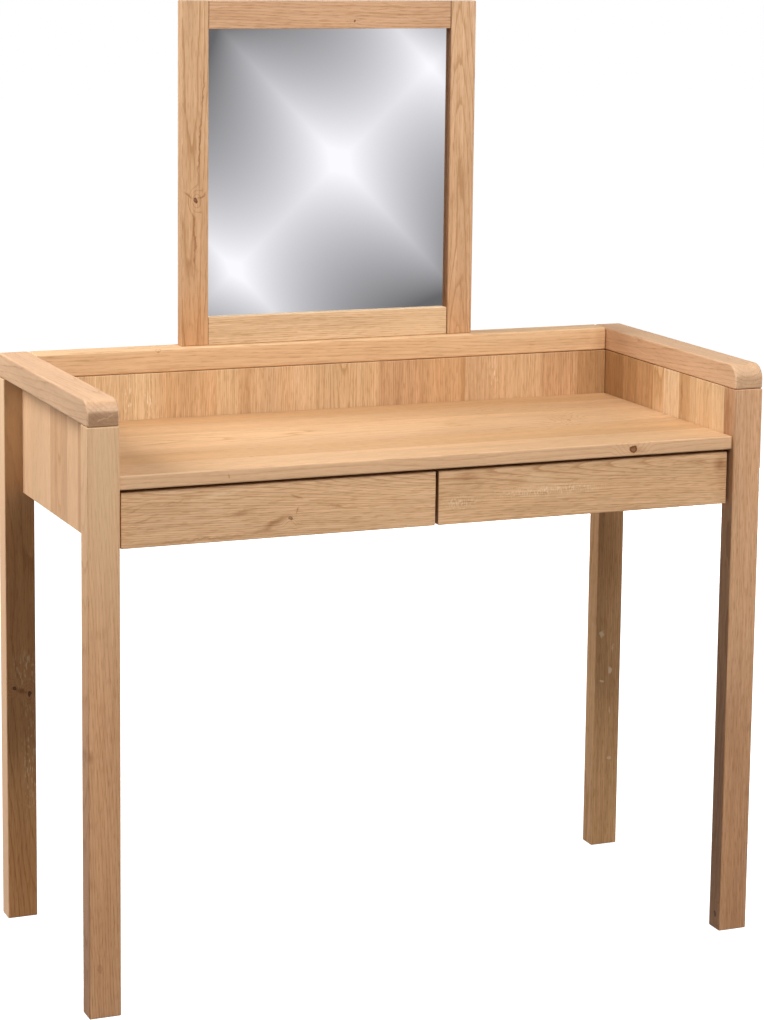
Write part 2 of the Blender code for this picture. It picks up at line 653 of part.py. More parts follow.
def make_mirror_frame():
    frame_rear = MIRROR_FRONT_Y + FRAME_THICKNESS
    frame_middle = MIRROR_FRONT_Y + FRAME_THICKNESS / 2
    half_width = MIRROR_WIDTH / 2
    opening_x = half_width - FRAME_WIDTH
    opening_low = MIRROR_BOTTOM + FRAME_WIDTH
    opening_high = MIRROR_TOP - FRAME_WIDTH
    rebate_x = opening_x + REBATE_WIDTH
    rebate_low = opening_low - REBATE_WIDTH
    rebate_high = opening_high + REBATE_WIDTH
    solid_height = FRAME_WIDTH - REBATE_WIDTH
    tenon_middles = {"bottom": MIRROR_BOTTOM + solid_height / 2, "top": MIRROR_TOP - solid_height / 2}
    tenon_half = TENON_HEIGHT / 2
    tenon_thick_half = TENON_THICKNESS / 2

    for side in SIDES:
        name = f"mirror_stile_{side}"
        low_x, high_x = across(side, opening_x, half_width)
        stile = board(
            name, (low_x, MIRROR_FRONT_Y, MIRROR_BOTTOM), (high_x, frame_rear, MIRROR_TOP), OAK, FRAME_ARRIS
        )
        cut_low, cut_high = across(side, opening_x - OVERRUN, rebate_x)
        cut(stile, rebate_cutter(f"{name}_rebate", cut_low, cut_high, rebate_low, rebate_high))
        cut_low, cut_high = across(side, opening_x - OVERRUN, opening_x + TENON_LENGTH + JOINT_GAP)
        for end, middle in tenon_middles.items():
            mortise = box_helper(
                f"{name}_mortise_{end}",
                (cut_low, frame_middle - tenon_thick_half - JOINT_GAP, middle - tenon_half - JOINT_GAP),
                (cut_high, frame_middle + tenon_thick_half + JOINT_GAP, middle + tenon_half + JOINT_GAP),
            )
            cut(stile, mortise)
        bore_name = f"mirror_bolt_{side}_stile_bore"
        bore_centre = (SIDES[side] * BOLT_X, BOLT_Y, RAIL_TOP)
        bore_diameter = BOLT_DIAMETER + 2 * JOINT_GAP
        bore_length = 2 * (BOLT_BITE + JOINT_GAP)
        cut(stile, rod_helper(bore_name, bore_centre, bore_diameter, bore_length, "Z"))

    rail_reach = opening_x - JOINT_GAP
    tenon_reach = opening_x + TENON_LENGTH
    rail_spans = {"bottom": (MIRROR_BOTTOM, opening_low), "top": (opening_high, MIRROR_TOP)}
    rebate_spans = {
        "bottom": (rebate_low, opening_low + OVERRUN),
        "top": (opening_high - OVERRUN, rebate_high),
    }
    for end, (low_z, high_z) in rail_spans.items():
        name = f"mirror_rail_{end}"
        low = (-rail_reach, MIRROR_FRONT_Y, low_z)
        high = (rail_reach, frame_rear, high_z)
        rail = board(name, low, high, OAK, FRAME_ARRIS)
        tenons = box_helper(
            f"{name}_tenons",
            (-tenon_reach, frame_middle - tenon_thick_half, tenon_middles[end] - tenon_half),
            (tenon_reach, frame_middle + tenon_thick_half, tenon_middles[end] + tenon_half),
        )
        combine(rail, tenons, "UNION")
        cut(rail, rebate_cutter(f"{name}_rebate", -rebate_x, rebate_x, *rebate_spans[end]))

    glass_x = rebate_x - JOINT_GAP
    glass_front = MIRROR_FRONT_Y + FRAME_LIP + JOINT_GAP
    glass_rear = glass_front + GLASS_THICKNESS
    glass_low = rebate_low + JOINT_GAP
    glass_high = rebate_high - JOINT_GAP
    backing_front = glass_rear + JOINT_GAP
    backing_rear = backing_front + BACKING_THICKNESS
    panes = {
        "mirror_glass": (glass_front, glass_rear, SILVERED_GLASS),
        "mirror_backing": (backing_front, backing_rear, HARDBOARD),
    }
    for name, (front_y, rear_y, finish) in panes.items():
        low = (-glass_x, front_y, glass_low)
        high = (glass_x, rear_y, glass_high)
        board(name, low, high, finish, THIN_BOARD_ARRIS)


def make_mirror_bolt(side):
    """A hexagon bolt with a flange, up through the back rail into the foot of a stile."""
    name = f"mirror_bolt_{side}"
    flange_top = RAIL_BOTTOM - JOINT_GAP
    flange_bottom = flange_top - BOLT_FLANGE_HEIGHT
    head_bottom = flange_bottom - BOLT_HEAD_HEIGHT
    tip = RAIL_TOP + BOLT_BITE
    bolt_x = SIDES[side] * BOLT_X
    shank_middle = (bolt_x, BOLT_Y, (tip + flange_bottom) / 2)
    shank = rod_mesh(BOLT_DIAMETER, tip - flange_bottom, "Z")
    bolt = add_object(name, shank, shank_middle, None)
    bolt.data.materials.append(material_for(name, ZINC))
    bolt.data.shade_smooth()
    bolt.data.set_sharp_from_angle(angle=SHARP_ANGLE)
    flange_middle = (bolt_x, BOLT_Y, (flange_top + flange_bottom) / 2)
    flange = rod_helper(f"{name}_flange", flange_middle, BOLT_FLANGE_DIAMETER, BOLT_FLANGE_HEIGHT, "Z")
    head_top = flange_bottom + BOLT_FLANGE_HEIGHT / 2
    head_middle = (bolt_x, BOLT_Y, (head_top + head_bottom) / 2)
    across_corners = BOLT_HEAD_ACROSS / math.cos(math.pi / HEX_SIDES)
    head = rod_helper(f"{name}_head", head_middle, across_corners, head_top - head_bottom, "Z", HEX_SIDES)
    combine(bolt, flange, "UNION")
    combine(bolt, head, "UNION")


def make_carcase():
    for side in SIDES:
        for end in ENDS:
            make_leg(side, end)
            for name, centre in leg_dowel_places(side, end):
                dowel(name, centre, "Z")
        make_side_rail(side)
        make_side_panel(side)
        for name, centre in rail_dowel_places(side):
            dowel(name, centre, "X")
        make_cleats(side)
        make_runner(f"runner_{side}_outer", SIDES[side] * INNER_X, -SIDES[side])
        make_runner(f"runner_{side}_inner", SIDES[side] * DIVIDER_THICKNESS / 2, SIDES[side])
    make_back_rail()
    make_back_panel()
    make_worktop()
    make_divider()


def make_mirror():
    make_mirror_frame()
    for side in SIDES:
        make_mirror_bolt(side)


def main():
    clear_scene()
    make_carcase()
    for label in SIDES:
        make_drawer(label)
    make_mirror()
    bpy.context.view_layer.update()


main()
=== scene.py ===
"""Finishes, small fittings and studio for the oak dressing table with two drawers and a mirror.

The file is laid out as an add-on and is run as a script. Each operator dresses one group of pieces,
and the panel in the 3D view's sidebar lists them. Metres, +Z up, the front faces -Y.
"""

import math
from collections import namedtuple

import bmesh
import bpy
from bpy.props import FloatProperty, FloatVectorProperty, PointerProperty
from mathutils import Euler, Matrix, Vector


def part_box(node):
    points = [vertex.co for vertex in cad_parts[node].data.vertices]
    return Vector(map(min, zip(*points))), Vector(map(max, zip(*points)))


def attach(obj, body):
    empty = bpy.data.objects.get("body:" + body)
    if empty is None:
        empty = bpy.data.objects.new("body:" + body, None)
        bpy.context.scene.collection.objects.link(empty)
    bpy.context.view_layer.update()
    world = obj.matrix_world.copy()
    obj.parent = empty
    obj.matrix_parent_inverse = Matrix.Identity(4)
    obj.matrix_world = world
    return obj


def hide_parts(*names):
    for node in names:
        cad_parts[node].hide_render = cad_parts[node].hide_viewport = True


bl_info = {
    "name": "Dressing table finishes",
    "version": (1, 0, 0),
    "blender": (4, 5, 0),
    "location": "3D View > Sidebar > Dressing table",
    "description": "Oak, mirror, fittings and studio for the dressing table",
    "category": "Object",
}

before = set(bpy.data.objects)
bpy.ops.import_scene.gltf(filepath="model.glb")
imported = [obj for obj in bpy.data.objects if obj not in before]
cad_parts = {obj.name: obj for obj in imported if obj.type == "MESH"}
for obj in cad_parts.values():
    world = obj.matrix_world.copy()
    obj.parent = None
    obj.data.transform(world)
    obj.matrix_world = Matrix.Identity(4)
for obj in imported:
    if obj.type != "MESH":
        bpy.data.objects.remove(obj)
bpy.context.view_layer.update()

SIDES = {"left": -1, "right": 1}
CARCASE = "carcase"

# How the axes are read along the fibres and across them, for boards that run along X, Y or Z
FIBRE_ORDER = {"X": (0, 1, 2), "Y": (1, 0, 2), "Z": (2, 0, 1)}

# Sizes of what grows in oak, in features per metre along the fibres and across them
WANDER_SCALE = (1.7, 8.0, 8.0)
RIPPLE_SCALE = (6.0, 70.0, 70.0)
FIBRE_SCALE = (7.0, 260.0, 260.0)
# Real pores are 0.3 mm wide, too fine to show, so they are drawn about 2 mm wide
PORE_SCALE = (48.0, 560.0, 560.0)
CLOUD_SCALE = (1.6, 16.0, 16.0)
# Rays cut along their length show as flecks along the fibres, and cut across as ticks across them
FLECK_SCALES = {"fleck": (90.0, 520.0, 520.0), "tick": (600.0, 150.0, 150.0)}
RAG_SCALE = (90.0, 90.0, 90.0)
# Noise between the two values rises from nothing to a full pore, fibre, fleck or cloud
PORE_EDGES, FIBRE_EDGES, CLOUD_EDGES = (0.52, 0.64), (0.36, 0.64), (0.3, 0.7)
FLECK_EDGES = {"fleck": (0.56, 0.64), "tick": (0.50, 0.62)}
# How far the pith wanders, marks are ragged and the figure jumps from stave to stave, in metres,
# and how far a ring ripples, in rings. Noise is moved by its middle so that it goes both ways
NOISE_MIDDLE = (0.5, 0.5, 0.5)
WANDER_REACH = (0.0, 0.032, 0.032)
RAG_REACH = (0.009, 0.009, 0.009)
STAVE_JUMP = (0.9, 0.05, 0.05)
RIPPLE_REACH = 0.9
# How far a knot pushes the rings aside, in metres, and over how many times its own size
KNOT_PUSH, KNOT_SPREAD = 0.012, 4.5
# How dark the wood is at places through a year's growth, which starts and ends at full darkness,
# and how dark the faintest year is next to the darkest
YEAR_SHADES = ((0.07, 0.70), (0.18, 0.24), (0.34, 0.08), (0.93, 0.0))
FAINTEST_YEAR = 0.35
# How strong pores are between the lines, next to those in the lines, and how dark a fibre can get
OPEN_PORES, FIBRE_SHADE = 0.35, 0.5
# Where a knot's rim and its paler heart, and a ray's rim, lie on the way from its edge inwards
KNOT_RIM, KNOT_HEART, HEART_SHARE, RAY_RIM = (0.05, 0.30), (0.45, 0.80), 0.28, (0.05, 0.55)
# A face that points along the fibres by the first share starts to show end grain, and by the
# second shows nothing else
END_FACING = (0.93, 0.985)
# What dark and pale fibres add to the roughness, how pores and lines sink, and how deep in metres
FIBRE_ROUGHNESS = (0.07, -0.05)
PORE_SINK, LINE_SINK, RELIEF_DEPTH = -0.6, -0.5, 0.0004
# Oil on oak shines less than varnish
OIL_IOR, OIL_SPECULAR = 1.47, 0.3

# Corners closer than this in metres are one, faces flatter than this in degrees are joined, and
# faces that meet at more than this in degrees keep a crisp edge
MERGE_DISTANCE, FLAT_ANGLE, SHARP_ANGLE = 1e-5, 0.5, 40.0
# How far a screw's head stands out of the wood and how deep its cross is
SCREW_PROUD, SCREW_RECESS = 0.00015, 0.0012
# A screw's cross and the depth of its head as shares of its radius, how far the cross and the head
# draw in towards their bottom, and the corners of its rim
CROSS_ARM, CROSS_HALF_WIDTH, HEAD_DEPTH = 0.55, 0.13, 0.9
CROSS_TAPER, HEAD_TAPER, SCREW_CORNERS = 0.5, 0.45, 24
# Where screws and glazing points sit, as shares of what they hold from its middle
SIDE_CLEAT_SCREWS, REAR_CLEAT_SCREWS = (-0.40, 0.0, 0.38), (-0.38, 0.0, 0.38)
RUNNER_SCREWS = (-0.42, 0.0, 0.42)
FRONT_SCREWS_ACROSS, FRONT_SCREWS_UP = (-0.36, 0.36), (-0.12, 0.26)
POINTS_ACROSS, POINTS_UP = (-0.33, 0.0, 0.33), (-0.40, -0.13, 0.13, 0.40)
# A glazing point's width, thickness and height over the backing
POINT_WIDTH, POINT_THICKNESS, POINT_LIFT = 0.007, 0.0005, 0.00005
# Half the size of a mark along an axis that it runs right through
THROUGH = 1000.0


def linear(hexa):
    """A linear colour from an sRGB hex value such as #d9ae82."""
    shares = [int(hexa[place : place + 2], 16) / 255 for place in (1, 3, 5)]
    return tuple(
        share / 12.92 if share <= 0.04045 else ((share + 0.055) / 1.055) ** 2.4 for share in shares
    )


# What one kind of timber looks like: colour of its lines, of end grain and of knots as a share of
# the board's own colour, how strong lines, pores, fibres and clouds are, and how rough and deep its
# surface is
Timber = namedtuple("Timber", "line end knot lines pores fibres clouds roughness relief")
OILED = Timber(
    (0.68, 0.59, 0.48), (0.66, 0.60, 0.56), (0.22, 0.13, 0.08), 0.95, 0.95, 0.90, 0.11, 0.52, 0.35
)
PLANED = Timber(
    (0.74, 0.64, 0.54), (0.76, 0.70, 0.66), (0.36, 0.25, 0.18), 0.50, 0.45, 0.35, 0.07, 0.62, 0.45
)
BEECH = Timber(
    (0.80, 0.70, 0.62), (0.78, 0.72, 0.68), (0.45, 0.32, 0.24), 0.16, 0.40, 0.30, 0.05, 0.55, 0.20
)
BIRCH = Timber(
    (0.84, 0.76, 0.66), (0.70, 0.62, 0.54), (0.45, 0.32, 0.24), 0.40, 0.10, 0.25, 0.08, 0.58, 0.15
)

# What each kind of mark does to the board's colour. A knot takes its colour from the timber
MARK_COLOURS = {
    "knot": (None, "MULTIPLY"),
    # Darker figure of the wood, and at some marks painted shade
    "dark": ((0.60, 0.47, 0.36), "MULTIPLY"),
    "warm": ((0.96, 0.80, 0.62), "MULTIPLY"),
    # Painted shade on faces that lie in shadow
    "shade": ((0.36, 0.25, 0.15), "MULTIPLY"),
    # Painted light on a side that catches more light than the rest of the board
    "face": (linear("#eec098"), "MIX"),
    # A painted highlight along a lit edge
    "edge": (linear("#f6c8a0"), "MIX"),
    "tick": (linear("#f6deba"), "MIX"),
    # Paler figure of the wood, and at some marks painted light
    "pale": (linear("#f0cfa4"), "MIX"),
    "ray": (linear("#f0d3ab"), "MIX"),
    "fleck": (linear("#f3dcba"), "MIX"),
}
# Marks with a straight rim: the painted shade, painted light and painted highlight of whole faces
# and edges
STRAIGHT_MARKS = ("shade", "face", "edge")
# One board: its grain, where the pith lies from its middle and how it leans, the width of a year's
# growth, its colour, the staves it is glued from with the border where each begins, its marks, and
# how strong its figure and its end grain are
Board = namedtuple(
    "Board",
    "grain pith lean spacing colour stave_axis staves marks lines end",
    defaults=(0.0034, "#dbb086", None, (), (), 1.0, 1.0),
)
# A mark: its kind, its middle and its half sizes, where None runs right through, its strength, and
# the degrees that it is turned by on the board's face
Mark = namedtuple("Mark", "kind place reach strength turn", defaults=(1.0, 0.0))

BOARDS = {
    "leg_front_left": Board(
        "Z", (0.09, 0.02), (0.055, 0.0), 0.0040, "#e0b086", lines=0.9,
        marks=(
            Mark("knot", (-0.505, None, 0.0725), (0.005, 1, 0.009), 0.25),
            Mark("dark", (-0.518, None, 0.376), (0.007, 1, 0.014), 0.7),
            # Painted shade: the leg darker towards the floor
            Mark("dark", (-0.500, None, 0.060), (0.050, 1, 0.220), 0.35),
            Mark("warm", (-0.497, None, 0.300), (0.050, 1, 0.400), 0.3),
            # Painted shade on the left face, deepening towards the floor
            Mark("shade", (-0.5200, None, 0.000), (0.0020, 1, 0.90), 0.6),
            # Painted light: the upper part of the leg paler, where more light falls
            Mark("pale", (-0.497, None, 0.800), (0.060, 1, 0.400), 0.5),
        ),
    ),
    "leg_front_right": Board(
        "Z", (0.20, 0.02), (0.0, 0.0), 0.0024, "#e6b78f", lines=1.2,
        marks=(
            Mark("knot", (None, -0.218, 0.024), (1, 0.004, 0.006)),
            # Painted shade: the leg darker towards the floor
            Mark("dark", (0.497, None, 0.100), (0.060, 1, 0.500), 0.55),
            # Painted shade on the face towards the knee space
            Mark("shade", (0.4740, None, 0.300), (0.0020, 1, 1.20), 0.5),
        ),
    ),
    "leg_rear_left": Board(
        # The colour is darker than the other legs' to paint the shade that the table casts on its
        # front
        "Z", (0.03, 0.09), (0.03, 0.02), 0.0034, "#bf8e5e",
        marks=(
            Mark("knot", (-0.484, None, 0.351), (0.0035, 1, 0.006)),
            Mark("knot", (-0.508, None, 0.362), (0.004, 1, 0.004)),
            Mark("dark", (-0.496, None, 0.356), (0.018, 1, 0.005), 1.0, 24.0),
            # Painted shade: the leg darker towards the floor
            Mark("dark", (-0.497, None, 0.040), (0.060, 1, 0.200), 0.45),
            # Painted light on the left face, which is lit while the front lies in shade
            Mark("face", (-0.5200, None, None), (0.0020, 1, 1)),
            Mark("fleck", (-0.490, None, 0.390), (0.030, 1, 0.045), 0.55),
            Mark("fleck", (-0.484, None, 0.250), (0.020, 1, 0.130), 0.5),
            # Painted light: the top of the leg paler, above the shade under the table
            Mark("pale", (-0.505, None, 0.800), (0.060, 1, 0.220), 0.60),
        ),
    ),
    "leg_rear_right": Board(
        "Z", (0.15, -0.01), (0.0, 0.0), 0.0030, "#e0b181", lines=1.25,
        marks=(
            Mark("ray", (0.4850, None, 0.360), (0.0065, 1, 0.0085), 1.0),
            Mark("ray", (0.5010, None, 0.2975), (0.0050, 1, 0.0100), 1.0),
            Mark("ray", (0.4860, None, 0.2800), (0.0070, 1, 0.0035), 1.0),
            Mark("ray", (0.5025, None, 0.2290), (0.0025, 1, 0.0085), 0.6),
            Mark("ray", (0.5040, None, 0.1475), (0.0055, 1, 0.0035), 0.6),
            Mark("ray", (0.5050, None, 0.3350), (0.0018, 1, 0.0130), 0.5),
            Mark("dark", (0.497, None, 0.500), (0.050, 1, 0.120), 0.3),
        ),
    ),
    "side_panel_left": Board(
        "Z", (0.06, 0.05), (0.02, 0.03), 0.0036, "#e8bb91", "Y",
        ((-0.110, "#dbad83"), (-0.095, "#e8bd93"), (-0.041, "#ddb086"), (0.044, "#ecc299")),
        (
            Mark("dark", (None, 0.020, 0.740), (1, 0.009, 0.120), 0.35),
            Mark("dark", (None, -0.100, 0.700), (1, 0.010, 0.120), 0.20),
        ),
        lines=0.6,
    ),
    "side_panel_right": Board(
        "Z", (0.06, 0.05), (0.02, 0.03), 0.0034, "#f0cda2", "Y",
        (
            (-0.161, "#eec99c"), (-0.096, "#e3b888"), (-0.063, "#fbdcb4"), (-0.014, "#ecc496"),
            # The last two staves towards the back are darker both in their own tone and with
            # painted shade of the rear corner
            (0.025, "#dbae7f"), (0.074, "#cfa273"), (0.122, "#bb8f61"),
        ),
        (Mark("dark", (None, -0.068, 0.806), (1, 0.0045, 0.040), 0.7),),
        lines=1.1,
    ),
    "back_panel": Board(
        "Z", (0.05, 0.06), (0.02, 0.03), 0.0028, "#ebc89d", "X",
        (
            (-0.335, "#eecda2"), (-0.308, "#eac79b"), (-0.283, "#e5bc8f"), (-0.196, "#e9c599"),
            (-0.1615, "#e1b88c"), (-0.1365, "#e6c096"), (-0.065, "#eac69e"), (-0.043, "#e8c398"),
            (0.075, "#e0b48a"), (0.145, "#dcb083"), (0.2135, "#d2a576"), (0.226, "#e3bc92"),
            (0.301, "#e2bc92"), (0.357, "#dbb086"),
            (0.4185, "#c0966a"), (0.460, "#c59b6d"),
        ),
        (
            Mark("fleck", (-0.331, None, 0.795), (0.009, 1, 0.06)),
            Mark("fleck", (-0.299, None, 0.795), (0.011, 1, 0.06)),
            Mark("fleck", (0.276, None, 0.80), (0.014, 1, 0.05), 0.7),
        ),
        lines=1.15,
    ),
    "worktop": Board(
        "X", (0.05, -0.07), (0.01, 0.02), 0.0034, "#d9b187", "Y",
        (
            (-0.153, "#cfa477"), (-0.084, "#d3aa80"), (-0.057, "#d9b187"),
            (0.055, "#d3aa80"), (0.124, "#cfa477"),
        ),
        (
            # A painted highlight: the worktop's front edge paler, where light catches it
            Mark("edge", (None, -0.2280, None), (1, 0.0040, 1), 0.35),
            Mark("knot", (0.309, None, 0.755), (0.0086, 1, 0.0072)),
            Mark("warm", (0.309, None, 0.755), (0.0120, 1, 0.0090)),
            Mark("dark", (0.318, None, 0.752), (0.0200, 1, 0.0060), 0.5, -10.0),
            Mark("dark", (-0.315, None, 0.755), (0.0014, 1, 0.006), 0.9),
            Mark("knot", (0.304, -0.026, None), (0.004, 0.004, 1), 0.8),
            Mark("dark", (0.0135, -0.162, None), (0.004, 0.003, 1), 0.8),
            Mark("dark", (0.2135, 0.096, None), (0.004, 0.003, 1), 0.7),
            Mark("dark", (-0.255, -0.151, None), (0.004, 0.003, 1), 0.7),
        ),
        lines=0.85,
    ),
    "drawer_left_front": Board(
        "X", (0.020, 0.052), (0.04, 0.04), 0.0030, "#e9bf95", lines=1.2,
        marks=(
            Mark("knot", (-0.223, None, 0.688), (0.0045, 1, 0.004), 0.8),
            Mark("dark", (-0.246, None, 0.684), (0.036, 1, 0.008), 0.9, -24.0),
            Mark("dark", (-0.293, None, 0.701), (0.032, 1, 0.005), 0.6, -10.0),
            Mark("dark", (-0.214, None, 0.718), (0.016, 1, 0.0028), 0.8, 18.0),
            Mark("dark", (-0.213, None, 0.698), (0.009, 1, 0.0022), 0.9, -65.0),
            Mark("dark", (-0.438, None, 0.700), (0.046, 1, 0.0022), 0.40, -20.0),
            Mark("dark", (-0.452, None, 0.714), (0.028, 1, 0.0018), 0.40, -24.0),
            Mark("dark", (-0.392, None, 0.722), (0.050, 1, 0.0020), 0.40, -12.0),
            Mark("dark", (-0.352, None, 0.668), (0.120, 1, 0.0030), 0.6, -2.0),
            Mark("dark", (-0.155, None, 0.700), (0.030, 1, 0.0030), 0.6, 8.0),
            Mark("pale", (-0.330, None, 0.728), (0.050, 1, 0.006), 0.5, -8.0),
        ),
    ),
    "drawer_right_front": Board(
        "X", (0.013, 0.030), (0.03, 0.00), 0.0032, "#e7bc91", lines=1.15,
        marks=(
            Mark("tick", (0.175, None, 0.7020), (0.125, 1, 0.012), 0.65),
            Mark("tick", (0.035, None, 0.6930), (0.040, 1, 0.014), 0.55),
            Mark("dark", (0.048, None, 0.694), (0.019, 1, 0.0012), 0.8),
            Mark("dark", (0.045, None, 0.728), (0.032, 1, 0.015), 0.45),
            Mark("pale", (0.160, None, 0.720), (0.032, 1, 0.012), 0.35),
            Mark("dark", (0.470, None, 0.705), (0.032, 1, 0.060), 0.4),
            Mark("dark", (0.458, None, 0.722), (0.018, 1, 0.012), 0.9),
        ),
    ),
    "mirror_stile_left": Board(
        "Z", (-0.002, 0.018), (0.01, 0.035), 0.0040, "#d8b089",
        marks=(
            Mark("knot", (-0.2189, None, 1.093), (0.0035, 1, 0.006)),
            Mark("dark", (-0.2090, None, 1.0995), (0.0120, 1, 0.0022), 1.0, -32.0),
            Mark("dark", (-0.2300, None, 1.1010), (0.0130, 1, 0.0026), 1.0, 35.0),
            Mark("dark", (-0.2135, None, 1.175), (0.0020, 1, 0.085), 1.0, 2.5),
            Mark("dark", (-0.2070, None, 1.255), (0.0016, 1, 0.060), 0.9, 4.0),
            Mark("dark", (-0.2205, None, 1.030), (0.0026, 1, 0.070), 1.0, -1.0),
            Mark("warm", (-0.220, None, 0.880), (0.060, 1, 0.110), 0.7),
        ),
    ),
    "mirror_stile_right": Board(
        "Z", (-0.004, 0.012), (0.01, -0.05), 0.0040, "#dcb48e",
        marks=(
            Mark("warm", (0.220, None, 0.870), (0.060, 1, 0.120), 0.5),
            # Painted shade on the stile's inner face beside the glass
            Mark("shade", (0.1978, None, None), (0.0034, 1, 1), 1.0),
        ),
    ),
    "mirror_rail_top": Board(
        "X", (0.03, 0.07), (0.02, 0.01), 0.0036, "#d7ac87",
        marks=(Mark("knot", (0.0365, None, 1.3627), (0.0020, 1, 0.0020)),),
    ),
    "mirror_rail_bottom": Board(
        "X", (0.06, 0.10), (0.0, 0.0), 0.0027, "#e7c7a0",
        marks=(Mark("pale", (0.150, None, 0.893), (0.110, 1, 0.060), 0.4),),
    ),
    "drawer_divider": Board("Y", (0.05, 0.05), (0.02, 0.02)),
    "side_rail_left": Board(
        "Y", (0.012, 0.022), (0.03, 0.05), 0.0060, "#dab28e",
        marks=(
            Mark("ray", (-0.500, None, 0.846), (0.012, 1, 0.0022), 0.6, -20.0),
            Mark("ray", (-0.488, None, 0.850), (0.008, 1, 0.0018), 0.5, -35.0),
            # Painted shade on the curve of the rail's front end
            Mark("dark", (None, -0.2290, 0.866), (1, 0.0120, 0.0080), 0.30),
        ),
        lines=0.5,
    ),
    "side_rail_right": Board(
        "Y", (-0.010, 0.020), (0.05, 0.06), 0.0060, "#e2ba95",
        marks=(
            Mark("dark", (0.474, 0.180, None), (0.060, 0.120, 1), 0.45),
        ),
        lines=0.55, end=0.35,
    ),
    "back_rail": Board(
        "X", (0.02, -0.045), (0.01, 0.04), 0.0046, "#ecc498", lines=0.62,
        marks=(
            Mark("knot", (-0.283, None, 0.866), (0.0018, 1, 0.0018), 0.4),
            Mark("pale", (0.330, None, 0.863), (0.160, 1, 0.008), 0.4),
            Mark("dark", (0.470, None, 0.848), (0.030, 1, 0.030), 0.5),
        ),
    ),
}


def node(tree, kind, inputs=None, **settings):
    """Adds a shader node. Inputs give each socket a value, or the socket that feeds it."""
    made = tree.nodes.new(f"ShaderNode{kind}")
    for key, value in settings.items():
        setattr(made, key, value)
    for key, value in (inputs or {}).items():
        if isinstance(value, bpy.types.NodeSocket):
            tree.links.new(value, made.inputs[key])
        else:
            made.inputs[key].default_value = value
    return made


def new_material(name):
    """An empty material with its Principled shader, and that shader's tree."""
    material = bpy.data.materials.new(name)
    material.use_nodes = True
    tree = material.node_tree
    return material, tree, tree.nodes["Principled BSDF"]


def settle(tree, shader, **sockets):
    """Sets or links the named sockets of a shader, with _ for each space."""
    for name, value in sockets.items():
        socket = shader.inputs[name.replace("_", " ")]
        if isinstance(value, bpy.types.NodeSocket):
            tree.links.new(value, socket)
        else:
            socket.default_value = value


def rgba(colour):
    return (*colour, 1.0)


def nearness(tree, place, mark):
    """1 in the middle of a mark, falling smoothly to 0 at its rim."""
    turn = [math.radians(mark.turn) if value is None else 0.0 for value in mark.place]
    middle = [0.0 if value is None else value for value in mark.place]
    reach = [THROUGH if value is None else size for value, size in zip(mark.place, mark.reach)]
    inputs = {"Vector": place, "Location": middle, "Rotation": turn, "Scale": reach}
    turned = node(tree, "Mapping", inputs, vector_type="TEXTURE").outputs[0]
    away = node(tree, "VectorMath", {0: turned}, operation="LENGTH").outputs["Value"]
    inputs = {"Value": away, "From Min": 1.0, "From Max": 0.0}
    return node(tree, "MapRange", inputs, interpolation_type="SMOOTHSTEP").outputs[0]


def noise(tree, fibre, scale, detail=2.0, output=0, rough=0.55):
    """Noise drawn out along the fibres."""
    stretched = node(tree, "VectorMath", {0: fibre, 1: scale}, operation="MULTIPLY").outputs[0]
    inputs = {"Vector": stretched, "Scale": 1.0, "Detail": detail, "Roughness": rough}
    return node(tree, "TexNoise", inputs).outputs[output]


def spread(tree, value, low, high, to_low=0.0, to_high=1.0):
    """A value between low and high, moved to the same place between two others."""
    inputs = {
        "Value": value, "From Min": low, "From Max": high, "To Min": to_low, "To Max": to_high
    }
    return node(tree, "MapRange", inputs).outputs[0]


def maths(tree, operation, first, second=0.0, third=0.0, clamp=False):
    inputs = {0: first, 1: second, 2: third}
    return node(tree, "Math", inputs, operation=operation, use_clamp=clamp).outputs[0]


def tint(tree, colour, share, factor, blend="MULTIPLY"):
    """A colour multiplied by, or mixed with, another by a factor."""
    inputs = {0: factor, 6: colour, 7: share}
    return node(tree, "Mix", inputs, data_type="RGBA", blend_type=blend).outputs[2]


def stave_colour(tree, axes, board):
    """The colour of each stave, with hard borders, and a jump of the grain from stave to stave."""
    axis = "XYZ".index(board.stave_axis)
    borders = [border for border, colour in board.staves]
    low, high = borders[0] - 0.01, borders[-1] + 1.0
    share = spread(tree, axes[axis], low, high)
    ramp = node(tree, "ValToRGB", {0: share})
    ramp.color_ramp.interpolation = "CONSTANT"
    stops = ramp.color_ramp.elements
    stops.remove(stops[1])
    stops[0].position = 0.0
    stops[0].color = rgba(linear(board.colour))
    for border, colour in board.staves:
        stop = stops.new((border - low) / (high - low))
        stop.color = rgba(linear(colour))
    jump = node(tree, "TexWhiteNoise", {0: ramp.outputs[0]}, noise_dimensions="3D").outputs["Color"]
    jump = node(tree, "VectorMath", {0: jump, 1: STAVE_JUMP}, operation="MULTIPLY").outputs[0]
    return ramp.outputs[0], jump


